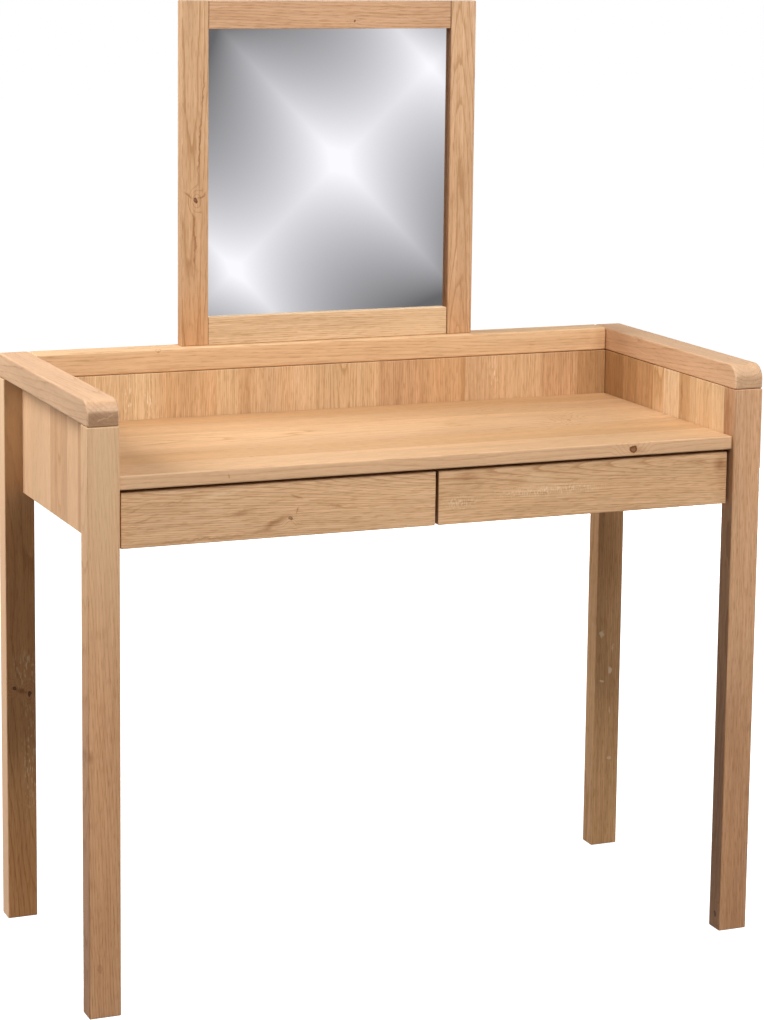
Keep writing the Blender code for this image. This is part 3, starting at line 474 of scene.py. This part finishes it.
def wood_material(name, board, timber, centre):
    """Wood that grows through the board: rings round a pith, pores along the fibres, end grain."""
    material, tree, shader = new_material(name)
    coordinates = node(tree, "TexCoord").outputs
    place = coordinates["Object"]
    axes = node(tree, "SeparateXYZ", {0: place}).outputs
    along, first, second = FIBRE_ORDER[board.grain]
    fibre = node(tree, "CombineXYZ", {0: axes[along], 1: axes[first], 2: axes[second]}).outputs[0]
    centre = (centre[along], centre[first], centre[second])
    fibre = node(tree, "VectorMath", {0: fibre, 1: centre}, operation="SUBTRACT").outputs[0]
    seed = [share * 7.3 for share in centre]
    pattern = node(tree, "VectorMath", {0: fibre, 1: seed}, operation="ADD").outputs[0]
    colour = rgba(linear(board.colour))
    if board.staves:
        colour, jump = stave_colour(tree, axes, board)
        fibre = node(tree, "VectorMath", {0: fibre, 1: jump}, operation="ADD").outputs[0]
        pattern = node(tree, "VectorMath", {0: pattern, 1: jump}, operation="ADD").outputs[0]

    # The rings: how far a point lies from the leaning, wandering pith
    wander = noise(tree, pattern, WANDER_SCALE, 2.0, 1)
    wander = node(tree, "VectorMath", {0: wander, 1: NOISE_MIDDLE}, operation="SUBTRACT").outputs[0]
    bent = node(
        tree, "VectorMath", {0: wander, 1: WANDER_REACH, 2: fibre}, operation="MULTIPLY_ADD"
    ).outputs[0]
    split = node(tree, "SeparateXYZ", {0: bent}).outputs
    run = node(tree, "CombineXYZ", {0: split[0], 1: split[0], 2: split[0]}).outputs[0]
    leaning = node(
        tree, "VectorMath", {0: run, 1: (0.0, *board.lean), 2: bent}, operation="MULTIPLY_ADD"
    ).outputs[0]
    pith = (0.0, *board.pith)
    away = node(tree, "VectorMath", {0: leaning, 1: pith}, operation="SUBTRACT").outputs[0]
    away = node(tree, "VectorMath", {0: away, 1: (0.0, 1.0, 1.0)}, operation="MULTIPLY").outputs[0]
    age = node(tree, "VectorMath", {0: away}, operation="LENGTH").outputs["Value"]
    for mark in board.marks:
        if mark.kind == "knot":
            wide = mark._replace(reach=[size * KNOT_SPREAD for size in mark.reach])
            push = KNOT_PUSH * mark.strength
            age = maths(tree, "MULTIPLY_ADD", nearness(tree, place, wide), push, age)
    ripple = noise(tree, pattern, RIPPLE_SCALE)
    age = maths(tree, "DIVIDE", age, board.spacing)
    age = maths(tree, "MULTIPLY_ADD", ripple, RIPPLE_REACH, age)
    ring = node(tree, "ValToRGB", {0: maths(tree, "FRACT", age)})
    stops = ring.color_ramp.elements
    stops[0].position, stops[0].color = 0.0, (1, 1, 1, 1)
    stops[1].position, stops[1].color = 1.0, (1, 1, 1, 1)
    for position, value in YEAR_SHADES:
        stops.new(position).color = (value, value, value, 1)
    count = maths(tree, "FLOOR", age)
    year = node(tree, "TexWhiteNoise", {1: count}, noise_dimensions="1D").outputs[0]
    year = spread(tree, year, 0.0, 1.0, FAINTEST_YEAR, 1.0)
    lines = maths(tree, "MULTIPLY", ring.outputs[0], year)

    # Pores crowd in the lines, and fibres run through everything
    pores = spread(tree, noise(tree, pattern, PORE_SCALE, 1.0), *PORE_EDGES)
    fibres = spread(tree, noise(tree, pattern, FIBRE_SCALE, 3.0, 0, 0.68), *FIBRE_EDGES)
    crowd = maths(tree, "MULTIPLY_ADD", lines, 1 - OPEN_PORES, OPEN_PORES)
    dark = maths(tree, "MULTIPLY", lines, timber.lines)
    dark = maths(tree, "MULTIPLY_ADD", maths(tree, "MULTIPLY", pores, crowd), timber.pores, dark)
    dark = maths(tree, "MULTIPLY_ADD", fibres, timber.fibres * FIBRE_SHADE, dark)
    dark = maths(tree, "MULTIPLY", dark, board.lines, clamp=True)
    colour = tint(tree, colour, rgba(timber.line), dark)

    clouds = noise(tree, pattern, CLOUD_SCALE, 5.0, 0, 0.66)
    clouds = spread(tree, clouds, *CLOUD_EDGES, 1 - timber.clouds, 1 + timber.clouds)
    colour = node(tree, "VectorMath", {0: colour, "Scale": clouds}, operation="SCALE").outputs[0]

    # The marks
    ragged = place
    if board.marks:
        rag = noise(tree, place, RAG_SCALE, 2.0, 1)
        rag = node(tree, "VectorMath", {0: rag, 1: NOISE_MIDDLE}, operation="SUBTRACT").outputs[0]
        inputs = {0: rag, 1: RAG_REACH, 2: place}
        ragged = node(tree, "VectorMath", inputs, operation="MULTIPLY_ADD").outputs[0]
    for mark in board.marks:
        near = nearness(tree, place if mark.kind in STRAIGHT_MARKS else ragged, mark)
        if mark.kind == "knot":
            heart = spread(tree, near, *KNOT_HEART, 0.0, HEART_SHARE)
            near = maths(tree, "SUBTRACT", spread(tree, near, *KNOT_RIM), heart)
        elif mark.kind == "ray":
            near = spread(tree, near, *RAY_RIM)
        elif mark.kind in FLECK_SCALES:
            flecks = noise(tree, pattern, FLECK_SCALES[mark.kind], 1.0)
            flecks = spread(tree, flecks, *FLECK_EDGES[mark.kind])
            near = maths(tree, "MULTIPLY", near, flecks)
        near = maths(tree, "MULTIPLY", near, mark.strength, clamp=True)
        share, blend = MARK_COLOURS[mark.kind]
        colour = tint(tree, colour, rgba(share or timber.knot), near, blend)

    facing = node(tree, "SeparateXYZ", {0: coordinates["Normal"]}).outputs[along]
    facing = spread(tree, maths(tree, "ABSOLUTE", facing), *END_FACING, 0.0, board.end)
    colour = tint(tree, colour, rgba(timber.end), facing)

    rough = [timber.roughness + change for change in FIBRE_ROUGHNESS]
    rough = spread(tree, fibres, 0.0, 1.0, *rough)
    sunk = maths(tree, "MULTIPLY", lines, LINE_SINK)
    sunk = maths(tree, "MULTIPLY_ADD", pores, PORE_SINK, sunk)
    inputs = {"Height": sunk, "Strength": timber.relief, "Distance": RELIEF_DEPTH}
    normal = node(tree, "Bump", inputs).outputs[0]
    settle(tree, shader, Base_Color=colour, Roughness=rough, Normal=normal)
    settle(tree, shader, IOR=OIL_IOR, Specular_IOR_Level=OIL_SPECULAR)
    return material


def dress(obj, material):
    """Gives a piece one material in every slot."""
    if not obj.material_slots:
        obj.data.materials.append(material)
    for slot in obj.material_slots:
        slot.material = material


def corners(name):
    """The low and the high corner of a node's box, and the middle between them."""
    low, high = (Vector(corner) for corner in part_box(name))
    return low, high, (low + high) / 2


def finish_board(name, board, timber, kind):
    """Gives a board of the CAD its wood, and hands that back."""
    material = wood_material(f"{kind}_{name}", board, timber, corners(name)[2])
    dress(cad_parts[name], material)
    return material


def add_piece(name, work, material, body):
    """Turns a bmesh drawn in place into a piece that rides on a body."""
    mesh = bpy.data.meshes.new(name)
    work.to_mesh(mesh)
    work.free()
    piece = bpy.data.objects.new(name, mesh)
    bpy.context.scene.collection.objects.link(piece)
    dress(piece, material)
    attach(piece, body)
    return piece


def weigh_normals(mesh, sharp):
    """Smooth shading in which each large face keeps its own direction up to its eased edges."""
    around = {}
    for face in mesh.polygons:
        for vertex in face.vertices:
            around.setdefault(vertex, []).append(face)
    limit = math.cos(sharp)
    normals = []
    for face in mesh.polygons:
        for vertex in face.vertices:
            total = Vector()
            for other in around[vertex]:
                if other.normal.dot(face.normal) > limit:
                    total += other.normal * other.area
            normals.append(total.normalized())
    mesh.shade_smooth()
    mesh.normals_split_custom_set(normals)


def smooth_copy(name, material, body):
    """A merged copy of a board with rounded edges, shaded smooth, that stands for it."""
    work = bmesh.new()
    work.from_mesh(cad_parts[name].data)
    bmesh.ops.remove_doubles(work, verts=work.verts, dist=MERGE_DISTANCE)
    flat = math.radians(FLAT_ANGLE)
    bmesh.ops.dissolve_limit(work, angle_limit=flat, verts=work.verts, edges=work.edges)
    piece = add_piece(f"{name}_rounded", work, material, body)
    weigh_normals(piece.data, math.radians(SHARP_ANGLE))
    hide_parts(name)


class OakSettings(bpy.types.PropertyGroup):
    """Finish of the oiled oak."""

    roughness: FloatProperty(
        name="Roughness", description="Roughness of the oiled surface", default=0.52, min=0, max=1
    )


class MirrorSettings(bpy.types.PropertyGroup):
    """Glass of the mirror and what holds it in the frame."""

    silver: FloatVectorProperty(
        name="Silver", description="Colour of the silvering", subtype="COLOR",
        default=linear("#eceef0"),
    )
    point_length: FloatProperty(
        name="Glazing point", description="Length of a glazing point", default=0.012, unit="LENGTH"
    )


class FittingSettings(bpy.types.PropertyGroup):
    """Screws and bolts."""

    screw_head: FloatProperty(
        name="Screw head", description="Diameter of a countersunk head", default=0.0075,
        unit="LENGTH",
    )
    zinc: FloatVectorProperty(
        name="Zinc", description="Colour of the bright zinc plate", subtype="COLOR",
        default=linear("#c3c6c9"),
    )


class StageSettings(bpy.types.PropertyGroup):
    """The studio: floor, lamps and camera."""

    key_power: FloatProperty(
        name="Key", description="Power of the lamp over the camera", default=115.0
    )
    side_power: FloatProperty(
        name="Side", description="Power of the lamp on the left", default=53.0
    )
    fill_power: FloatProperty(
        name="Fill", description="Power of the lamp behind the table", default=60.0
    )
    ambient: FloatProperty(
        name="Ambient", description="Strength of the light all round", default=0.11
    )
    lens: FloatProperty(
        name="Lens", description="Focal length", default=99.391, subtype="DISTANCE_CAMERA"
    )


class DRESSINGTABLE_OT_boards(bpy.types.Operator):
    """Finish the oak boards that show: legs, panels, worktop, drawer fronts and mirror frame"""

    bl_idname = "dressing_table.boards"
    bl_label = "Oak boards"

    def execute(self, context):
        timber = OILED._replace(roughness=context.scene.table_oak.roughness)
        for name, board in BOARDS.items():
            material = finish_board(name, board, timber, "oiled_oak")
            if "rail" in name and "mirror" not in name:
                smooth_copy(name, material, CARCASE)
        return {"FINISHED"}


class DRESSINGTABLE_OT_drawers(bpy.types.Operator):
    """Finish the drawer boxes, their runners, the cleats and the dowels"""

    bl_idname = "dressing_table.drawers"
    bl_label = "Drawer boxes"

    def execute(self, context):
        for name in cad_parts:
            if name in BOARDS:
                continue
            if "side_" in name or "box_front" in name or name.endswith("_back"):
                grain = "Y" if "side_" in name else "X"
                board = Board(grain, (0.05, 0.03), (0.02, 0.04), 0.0036, "#dcb68c")
                finish_board(name, board, PLANED, "planed_oak")
            elif name.endswith("_bottom") and name.startswith("drawer"):
                board = Board("X", (0.30, 0.02), (0.06, 0.03), 0.0090, "#e6cba2")
                finish_board(name, board, BIRCH, "birch_plywood")
            elif "dowel" in name or "cleat" in name or "runner" in name:
                grain = "Y"
                if "leg_dowel" in name:
                    grain = "Z"
                elif "rear" in name or "rail_dowel" in name:
                    grain = "X"
                board = Board(grain, (0.06, 0.04), (0.01, 0.01), 0.0030, "#d9b08a")
                finish_board(name, board, BEECH, "beech")
        return {"FINISHED"}


def glass_material(silver):
    """Float glass silvered at its back: a clear, slightly cool reflection."""
    material, tree, shader = new_material("silvered_float_glass")
    place = node(tree, "TexCoord").outputs["Object"]
    # Real glass is flatter than this, and the haze only keeps the reflection from looking drawn
    haze = noise(tree, place, (6.0, 6.0, 6.0), 2.0)
    rough = spread(tree, haze, 0.3, 0.7, 0.010, 0.022)
    settle(tree, shader, Base_Color=rgba(silver), Metallic=1.0, Roughness=rough)
    return material


def hardboard_material():
    """Pressed wood fibre: a dull brown sheet with a felted face and darker and lighter patches."""
    material, tree, shader = new_material("brown_hardboard")
    place = node(tree, "TexCoord").outputs["Object"]
    felt = noise(tree, place, (420.0, 420.0, 420.0), 3.0)
    patches = noise(tree, place, (14.0, 14.0, 14.0), 3.0)
    colour = tint(tree, rgba(linear("#7a5638")), rgba(linear("#5b3d26")), felt, "MIX")
    patches = maths(tree, "MULTIPLY", patches, 0.4)
    colour = tint(tree, colour, rgba(linear("#8c6746")), patches, "MIX")
    bump = node(tree, "Bump", {"Height": felt, "Strength": 0.4, "Distance": RELIEF_DEPTH})
    settle(tree, shader, Base_Color=colour, Roughness=0.78, Normal=bump.outputs[0], IOR=1.5)
    return material


def zinc_material(zinc):
    """Bright zinc plate on steel: a grey metal whose shine is broken by a fine cloud."""
    material, tree, shader = new_material("bright_zinc_plate")
    place = node(tree, "TexCoord").outputs["Object"]
    cloud = noise(tree, place, (900.0, 900.0, 900.0), 2.0)
    rough = spread(tree, cloud, 0.3, 0.7, 0.28, 0.42)
    settle(tree, shader, Base_Color=rgba(zinc), Metallic=1.0, Roughness=rough)
    return material


def draw_screw(work, place, outward, diameter):
    """Draws a countersunk head with a cross recess, its face just proud of the wood."""
    radius = diameter / 2
    arm, half = radius * CROSS_ARM, radius * CROSS_HALF_WIDTH
    turn = Vector(outward).to_track_quat("Z", "Y").to_matrix().to_4x4()
    matrix = Matrix.Translation(Vector(place) + Vector(outward) * SCREW_PROUD) @ turn
    made = bmesh.ops.create_circle(work, segments=SCREW_CORNERS, radius=radius, matrix=matrix)
    rim = made["verts"]
    quarter = [(arm, -half), (arm, half), (half, half)]
    cross = []
    for step in range(4):
        angle = math.radians(90 * step)
        for x, y in quarter:
            turned_x = x * math.cos(angle) - y * math.sin(angle)
            turned_y = x * math.sin(angle) + y * math.cos(angle)
            cross.append(work.verts.new(matrix @ Vector((turned_x, turned_y, 0.0))))
    cross_edges = [work.edges.new((cross[step - 1], vertex)) for step, vertex in enumerate(cross)]
    rim_edges = list({edge for vertex in rim for edge in vertex.link_edges})
    bmesh.ops.triangle_fill(work, edges=rim_edges + cross_edges, use_beauty=True)
    sink(work, cross_edges, matrix, CROSS_TAPER, SCREW_RECESS)
    sink(work, rim_edges, matrix, HEAD_TAPER, radius * HEAD_DEPTH)


def sink(work, edges, matrix, taper, depth):
    """Extrudes a closed loop into the wood, drawn in towards the screw's axis, and closes it."""
    made = bmesh.ops.extrude_edge_only(work, edges=edges)["geom"]
    verts = [item for item in made if isinstance(item, bmesh.types.BMVert)]
    deeper = Matrix.Translation((0, 0, -depth)) @ Matrix.Diagonal((taper, taper, 1.0, 1.0))
    bmesh.ops.transform(work, matrix=matrix @ deeper @ matrix.inverted(), verts=verts)
    ends = [item for item in made if isinstance(item, bmesh.types.BMEdge) and item.is_boundary]
    bmesh.ops.contextual_create(work, geom=ends)


def add_screws(name, spots, outward, material, body, diameter):
    """One group of screws that face the same way, as one piece."""
    work = bmesh.new()
    for place in spots:
        draw_screw(work, place, outward, diameter)
    bmesh.ops.recalc_face_normals(work, faces=work.faces)
    return add_piece(name, work, material, body)


def draw_point(work, place, inward, length):
    """Draws a flat lozenge of zinc that is driven half way into the wall of the rebate."""
    turn = Matrix((inward, Vector((0, 1, 0)).cross(inward), (0, 1, 0))).transposed().to_4x4()
    narrow = Matrix.Diagonal((1.0, POINT_WIDTH / length, 1.0, 1.0))
    matrix = Matrix.Translation(place) @ turn @ narrow
    made = bmesh.ops.create_circle(
        work, cap_ends=True, segments=4, radius=length / 2, matrix=matrix
    )
    face = made["verts"][0].link_faces[0]
    raised = bmesh.ops.extrude_face_region(work, geom=[face])["geom"]
    verts = [item for item in raised if isinstance(item, bmesh.types.BMVert)]
    bmesh.ops.translate(work, vec=(0, POINT_THICKNESS, 0), verts=verts)


class DRESSINGTABLE_OT_mirror(bpy.types.Operator):
    """Finish the mirror's glass and backing, and drive in the glazing points that hold them"""

    bl_idname = "dressing_table.mirror"
    bl_label = "Mirror"

    def execute(self, context):
        settings = context.scene.table_mirror
        dress(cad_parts["mirror_glass"], glass_material(settings.silver))
        dress(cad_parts["mirror_backing"], hardboard_material())
        low, high, middle = corners("mirror_backing")
        back = high.y + POINT_LIFT
        work = bmesh.new()
        for side, edge in ((-1, low.x), (1, high.x)):
            for share in POINTS_UP:
                place = (edge, back, middle.z + share * (high.z - low.z))
                draw_point(work, place, Vector((-side, 0, 0)), settings.point_length)
        for side, edge in ((-1, low.z), (1, high.z)):
            for share in POINTS_ACROSS:
                place = (middle.x + share * (high.x - low.x), back, edge)
                draw_point(work, place, Vector((0, 0, -side)), settings.point_length)
        bmesh.ops.recalc_face_normals(work, faces=work.faces)
        zinc = zinc_material(context.scene.table_fittings.zinc)
        add_piece("glazing_points", work, zinc, CARCASE)
        return {"FINISHED"}


class DRESSINGTABLE_OT_fittings(bpy.types.Operator):
    """Finish the mirror bolts and add the screws of the cleats, runners and drawer fronts"""

    bl_idname = "dressing_table.fittings"
    bl_label = "Fittings"

    def execute(self, context):
        settings = context.scene.table_fittings
        zinc = zinc_material(settings.zinc)
        for side in SIDES:
            dress(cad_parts[f"mirror_bolt_{side}"], zinc)
            spots = []
            for name, shares, axis in (
                (f"worktop_cleat_{side}", SIDE_CLEAT_SCREWS, 1),
                (f"worktop_cleat_rear_{side}", REAR_CLEAT_SCREWS, 0),
            ):
                low, high, middle = corners(name)
                for share in shares:
                    spot = middle.copy()
                    spot[axis] += share * (high - low)[axis]
                    spot.z = low.z
                    spots.append(spot)
            name = f"cleat_screws_{side}"
            add_screws(name, spots, (0, 0, -1), zinc, CARCASE, settings.screw_head)
            for place, inward in (("outer", -SIDES[side]), ("inner", SIDES[side])):
                low, high, middle = corners(f"runner_{side}_{place}")
                face = high.x if inward > 0 else low.x
                long = high.y - low.y
                spots = [(face, middle.y + share * long, middle.z) for share in RUNNER_SCREWS]
                name = f"runner_screws_{side}_{place}"
                add_screws(name, spots, (inward, 0, 0), zinc, CARCASE, settings.screw_head)
            low, high, middle = corners(f"drawer_{side}_box_front")
            spots = [
                (middle.x + across * (high.x - low.x), high.y, middle.z + up * (high.z - low.z))
                for across in FRONT_SCREWS_ACROSS
                for up in FRONT_SCREWS_UP
            ]
            name = f"drawer_{side}_front_screws"
            add_screws(name, spots, (0, 1, 0), zinc, f"drawer_{side}", settings.screw_head)
        return {"FINISHED"}


# The row of soft lamps that the mirror sees: its middle, its slant, how far a lamp's halo reaches
# along and across the row, and each lamp's place along the row and strength
LAMP_ROW_PLACE = (2.481, -6.0, 0.599)
LAMP_ROW_TURN = 0.7613
LAMP_HALO = (0.445, 1.489)
LAMP_ROW = ((0.0, 1.02), (0.53, 1.25), (-0.60, 1.35))
# The wall's own light, how it falls away from the row and to what power of the distance, what the
# sum is multiplied by and what it is kept between
WALL_LIGHT, WALL_FALL, WALL_POWER, WALL_GAIN, WALL_LIMITS = -1.10, -1.9, 7.0, 1.19, (0.16, 1.15)
WALL_TINT = (1.0, 0.98, 1.01)
WALL_SIZE, WALL_PLACE = 14.0, (0, -6.0, 2.0)

WHITE = (1.0, 1.0, 1.0)
# The studio's paper: the light it gives back to the table, how it looks itself, and its glow
PAPER_GIVEN, PAPER_SEEN, PAPER_GLOW = (0.34, 0.33, 0.32), (0.80, 0.80, 0.80), 0.92
PAPER_SIZE = 40.0
# Each lamp's place, width and height, and the point they all face
LAMP_TARGET = (0, 0, 0.65)
KEY_LAMP = ((0.3, -2.4, 3.3), 1.2, 1.0)
SIDE_LAMP = ((-2.0, 0.4, 2.2), 1.2, 1.2)
FILL_LAMP = ((2.2, 3.2, 0.5), 1.6, 1.6)

# The camera that the photograph was taken with, as far as its edges tell
CAMERA_PLACE = (-1.58303, -3.82491, 1.50322)
CAMERA_YAW, CAMERA_PITCH, CAMERA_ROLL = 22.54063, -8.71779, 0.65744
CAMERA_SHIFT_Y = -0.147
CAMERA_REACH = 100.0
# How much of the white surroundings a reflection shows
VEIL = 0.35
# The floor lies this far under the feet, so that the two faces don't share one plane
FLOOR_GAP = 0.0003


def camera_matrix():
    """The camera's place and turn in the scene."""
    yaw, pitch, roll = (math.radians(angle) for angle in (CAMERA_YAW, CAMERA_PITCH, CAMERA_ROLL))
    level = math.cos(pitch)
    ahead = Vector((math.sin(yaw) * level, math.cos(yaw) * level, math.sin(pitch)))
    right = ahead.cross(Vector((0, 0, 1))).normalized()
    up = right.cross(ahead)
    turned_right = right * math.cos(roll) + up * math.sin(roll)
    turned_up = up * math.cos(roll) - right * math.sin(roll)
    turn = Matrix((turned_right, turned_up, -ahead)).transposed()
    return Matrix.Translation(CAMERA_PLACE) @ turn.to_4x4()


def add_lamp(name, place, width, height, power):
    """A soft white lamp that faces the table."""
    light = bpy.data.lights.new(name, "AREA")
    light.shape = "RECTANGLE"
    light.size, light.size_y = width, height
    light.energy = power
    lamp = bpy.data.objects.new(name, light)
    bpy.context.scene.collection.objects.link(lamp)
    ahead = (Vector(LAMP_TARGET) - Vector(place)).normalized()
    turn = ahead.to_track_quat("-Z", "Y").to_matrix().to_4x4()
    lamp.matrix_world = Matrix.Translation(place) @ turn
    return lamp


def stage_sheet(name, size, place, turn, material):
    """A flat square sheet that belongs to the studio."""
    work = bmesh.new()
    bmesh.ops.create_grid(work, x_segments=1, y_segments=1, size=size / 2)
    matrix = Matrix.Translation(place) @ turn.to_matrix().to_4x4()
    bmesh.ops.transform(work, matrix=matrix, verts=work.verts)
    mesh = bpy.data.meshes.new(name)
    work.to_mesh(mesh)
    work.free()
    mesh.materials.append(material)
    sheet = bpy.data.objects.new(name, mesh)
    bpy.context.scene.collection.objects.link(sheet)
    return sheet


def seen_directly(tree):
    """1 for rays from the camera or through glass, VEIL for reflections and 0 for the rest.

    The full white of the studio would veil the oak's colour where the oak reflects it.
    """
    path = node(tree, "LightPath").outputs
    glossy, camera = path["Is Glossy Ray"], path["Is Camera Ray"]
    direct = maths(tree, "MULTIPLY_ADD", glossy, VEIL, camera, clamp=True)
    return maths(tree, "MAXIMUM", direct, path["Is Transmission Ray"])


def floor_material():
    """Studio paper: white to the camera, with the table's shadow, and darker in what it gives."""
    material, tree, shader = new_material("white_studio_paper")
    output = tree.nodes["Material Output"]
    tree.nodes.remove(shader)
    given = node(tree, "BsdfDiffuse", {"Color": rgba(PAPER_GIVEN)}).outputs[0]
    seen = node(tree, "BsdfDiffuse", {"Color": rgba(PAPER_SEEN)}).outputs[0]
    glow = node(tree, "Emission", {"Color": rgba(WHITE), "Strength": PAPER_GLOW}).outputs[0]
    seen = node(tree, "AddShader", {0: seen, 1: glow}).outputs[0]
    mixed = node(tree, "MixShader", {0: seen_directly(tree), 1: given, 2: seen})
    tree.links.new(mixed.outputs[0], output.inputs["Surface"])
    return material


def wall_material():
    """What the mirror sees: a grey studio wall with three soft lamps in a slanting row."""
    material, tree, shader = new_material("studio_wall_behind_camera")
    output = tree.nodes["Material Output"]
    tree.nodes.remove(shader)
    place = node(tree, "TexCoord").outputs["Object"]
    turn = (0.0, -LAMP_ROW_TURN, 0.0)
    inputs = {"Vector": place, "Location": LAMP_ROW_PLACE, "Rotation": turn}
    row = node(tree, "Mapping", inputs, vector_type="TEXTURE").outputs[0]
    axes = node(tree, "SeparateXYZ", {0: row}).outputs
    off_row = maths(tree, "ABSOLUTE", axes[2])
    across = maths(tree, "MULTIPLY_ADD", off_row, 1 / LAMP_HALO[1], 1.0)
    fall = maths(tree, "POWER", off_row, WALL_POWER)
    light = maths(tree, "MULTIPLY_ADD", fall, WALL_FALL, WALL_LIGHT)
    for shift, strength in LAMP_ROW:
        along = maths(tree, "ABSOLUTE", maths(tree, "SUBTRACT", axes[0], shift))
        along = maths(tree, "MULTIPLY_ADD", along, 1 / LAMP_HALO[0], 1.0)
        halo = maths(tree, "DIVIDE", strength, maths(tree, "MULTIPLY", along, across))
        light = maths(tree, "ADD", light, halo)
    light = maths(tree, "MULTIPLY", light, WALL_GAIN)
    light = maths(tree, "MAXIMUM", light, WALL_LIMITS[0])
    light = maths(tree, "MINIMUM", light, WALL_LIMITS[1])
    glow = node(tree, "Emission", {"Color": rgba(WALL_TINT), "Strength": light})
    tree.links.new(glow.outputs[0], output.inputs["Surface"])
    return material


class DRESSINGTABLE_OT_stage(bpy.types.Operator):
    """Set up the floor, the lamps, the light all round and the camera"""

    bl_idname = "dressing_table.stage"
    bl_label = "Studio"

    def execute(self, context):
        settings = context.scene.table_stage
        scene = context.scene
        flat, upright = Euler((0, 0, 0)), Euler((math.radians(90), 0, 0))
        stage_sheet("floor", PAPER_SIZE, (0, 0, -FLOOR_GAP), flat, floor_material())
        wall = stage_sheet("wall_behind_camera", WALL_SIZE, WALL_PLACE, upright, wall_material())
        wall.visible_camera = wall.visible_diffuse = False
        wall.visible_shadow = wall.visible_transmission = False

        add_lamp("key_lamp", *KEY_LAMP, settings.key_power)
        add_lamp("side_lamp", *SIDE_LAMP, settings.side_power)
        fill = add_lamp("fill_lamp", *FILL_LAMP, settings.fill_power)
        fill.visible_camera = fill.visible_glossy = False

        world = bpy.data.worlds.new("studio")
        world.use_nodes = True
        tree = world.node_tree
        background = tree.nodes["Background"]
        background.inputs["Color"].default_value = rgba(WHITE)
        strength = spread(tree, seen_directly(tree), 0.0, 1.0, settings.ambient, 1.0)
        tree.links.new(strength, background.inputs["Strength"])
        scene.world = world
        scene.view_settings.view_transform = "Standard"

        camera = bpy.data.objects.new("camera", bpy.data.cameras.new("camera"))
        scene.collection.objects.link(camera)
        camera.data.lens = settings.lens
        camera.data.shift_y = CAMERA_SHIFT_Y
        camera.data.clip_end = CAMERA_REACH
        camera.matrix_world = camera_matrix()
        scene.camera = camera
        return {"FINISHED"}


OPERATORS = (
    DRESSINGTABLE_OT_boards,
    DRESSINGTABLE_OT_drawers,
    DRESSINGTABLE_OT_mirror,
    DRESSINGTABLE_OT_fittings,
    DRESSINGTABLE_OT_stage,
)
SETTINGS = {
    "table_oak": OakSettings,
    "table_mirror": MirrorSettings,
    "table_fittings": FittingSettings,
    "table_stage": StageSettings,
}


class DRESSINGTABLE_PT_sidebar(bpy.types.Panel):
    """The operators and settings of the dressing table"""

    bl_idname = "DRESSINGTABLE_PT_sidebar"
    bl_label = "Dressing table"
    bl_space_type = "VIEW_3D"
    bl_region_type = "UI"
    bl_category = "Dressing table"

    def draw(self, context):
        for operator in OPERATORS:
            self.layout.operator(operator.bl_idname)
        for group, settings in SETTINGS.items():
            box = self.layout.box()
            for name in settings.__annotations__:
                box.prop(getattr(context.scene, group), name)


CLASSES = (*SETTINGS.values(), *OPERATORS, DRESSINGTABLE_PT_sidebar)


def register():
    for made in CLASSES:
        bpy.utils.register_class(made)
    for group, settings in SETTINGS.items():
        setattr(bpy.types.Scene, group, PointerProperty(type=settings))


def unregister():
    for group in SETTINGS:
        delattr(bpy.types.Scene, group)
    for made in reversed(CLASSES):
        bpy.utils.unregister_class(made)


def main():
    register()
    for operator in OPERATORS:
        getattr(bpy.ops.dressing_table, operator.bl_idname.split(".")[1])()


if __name__ == "__main__":
    main()
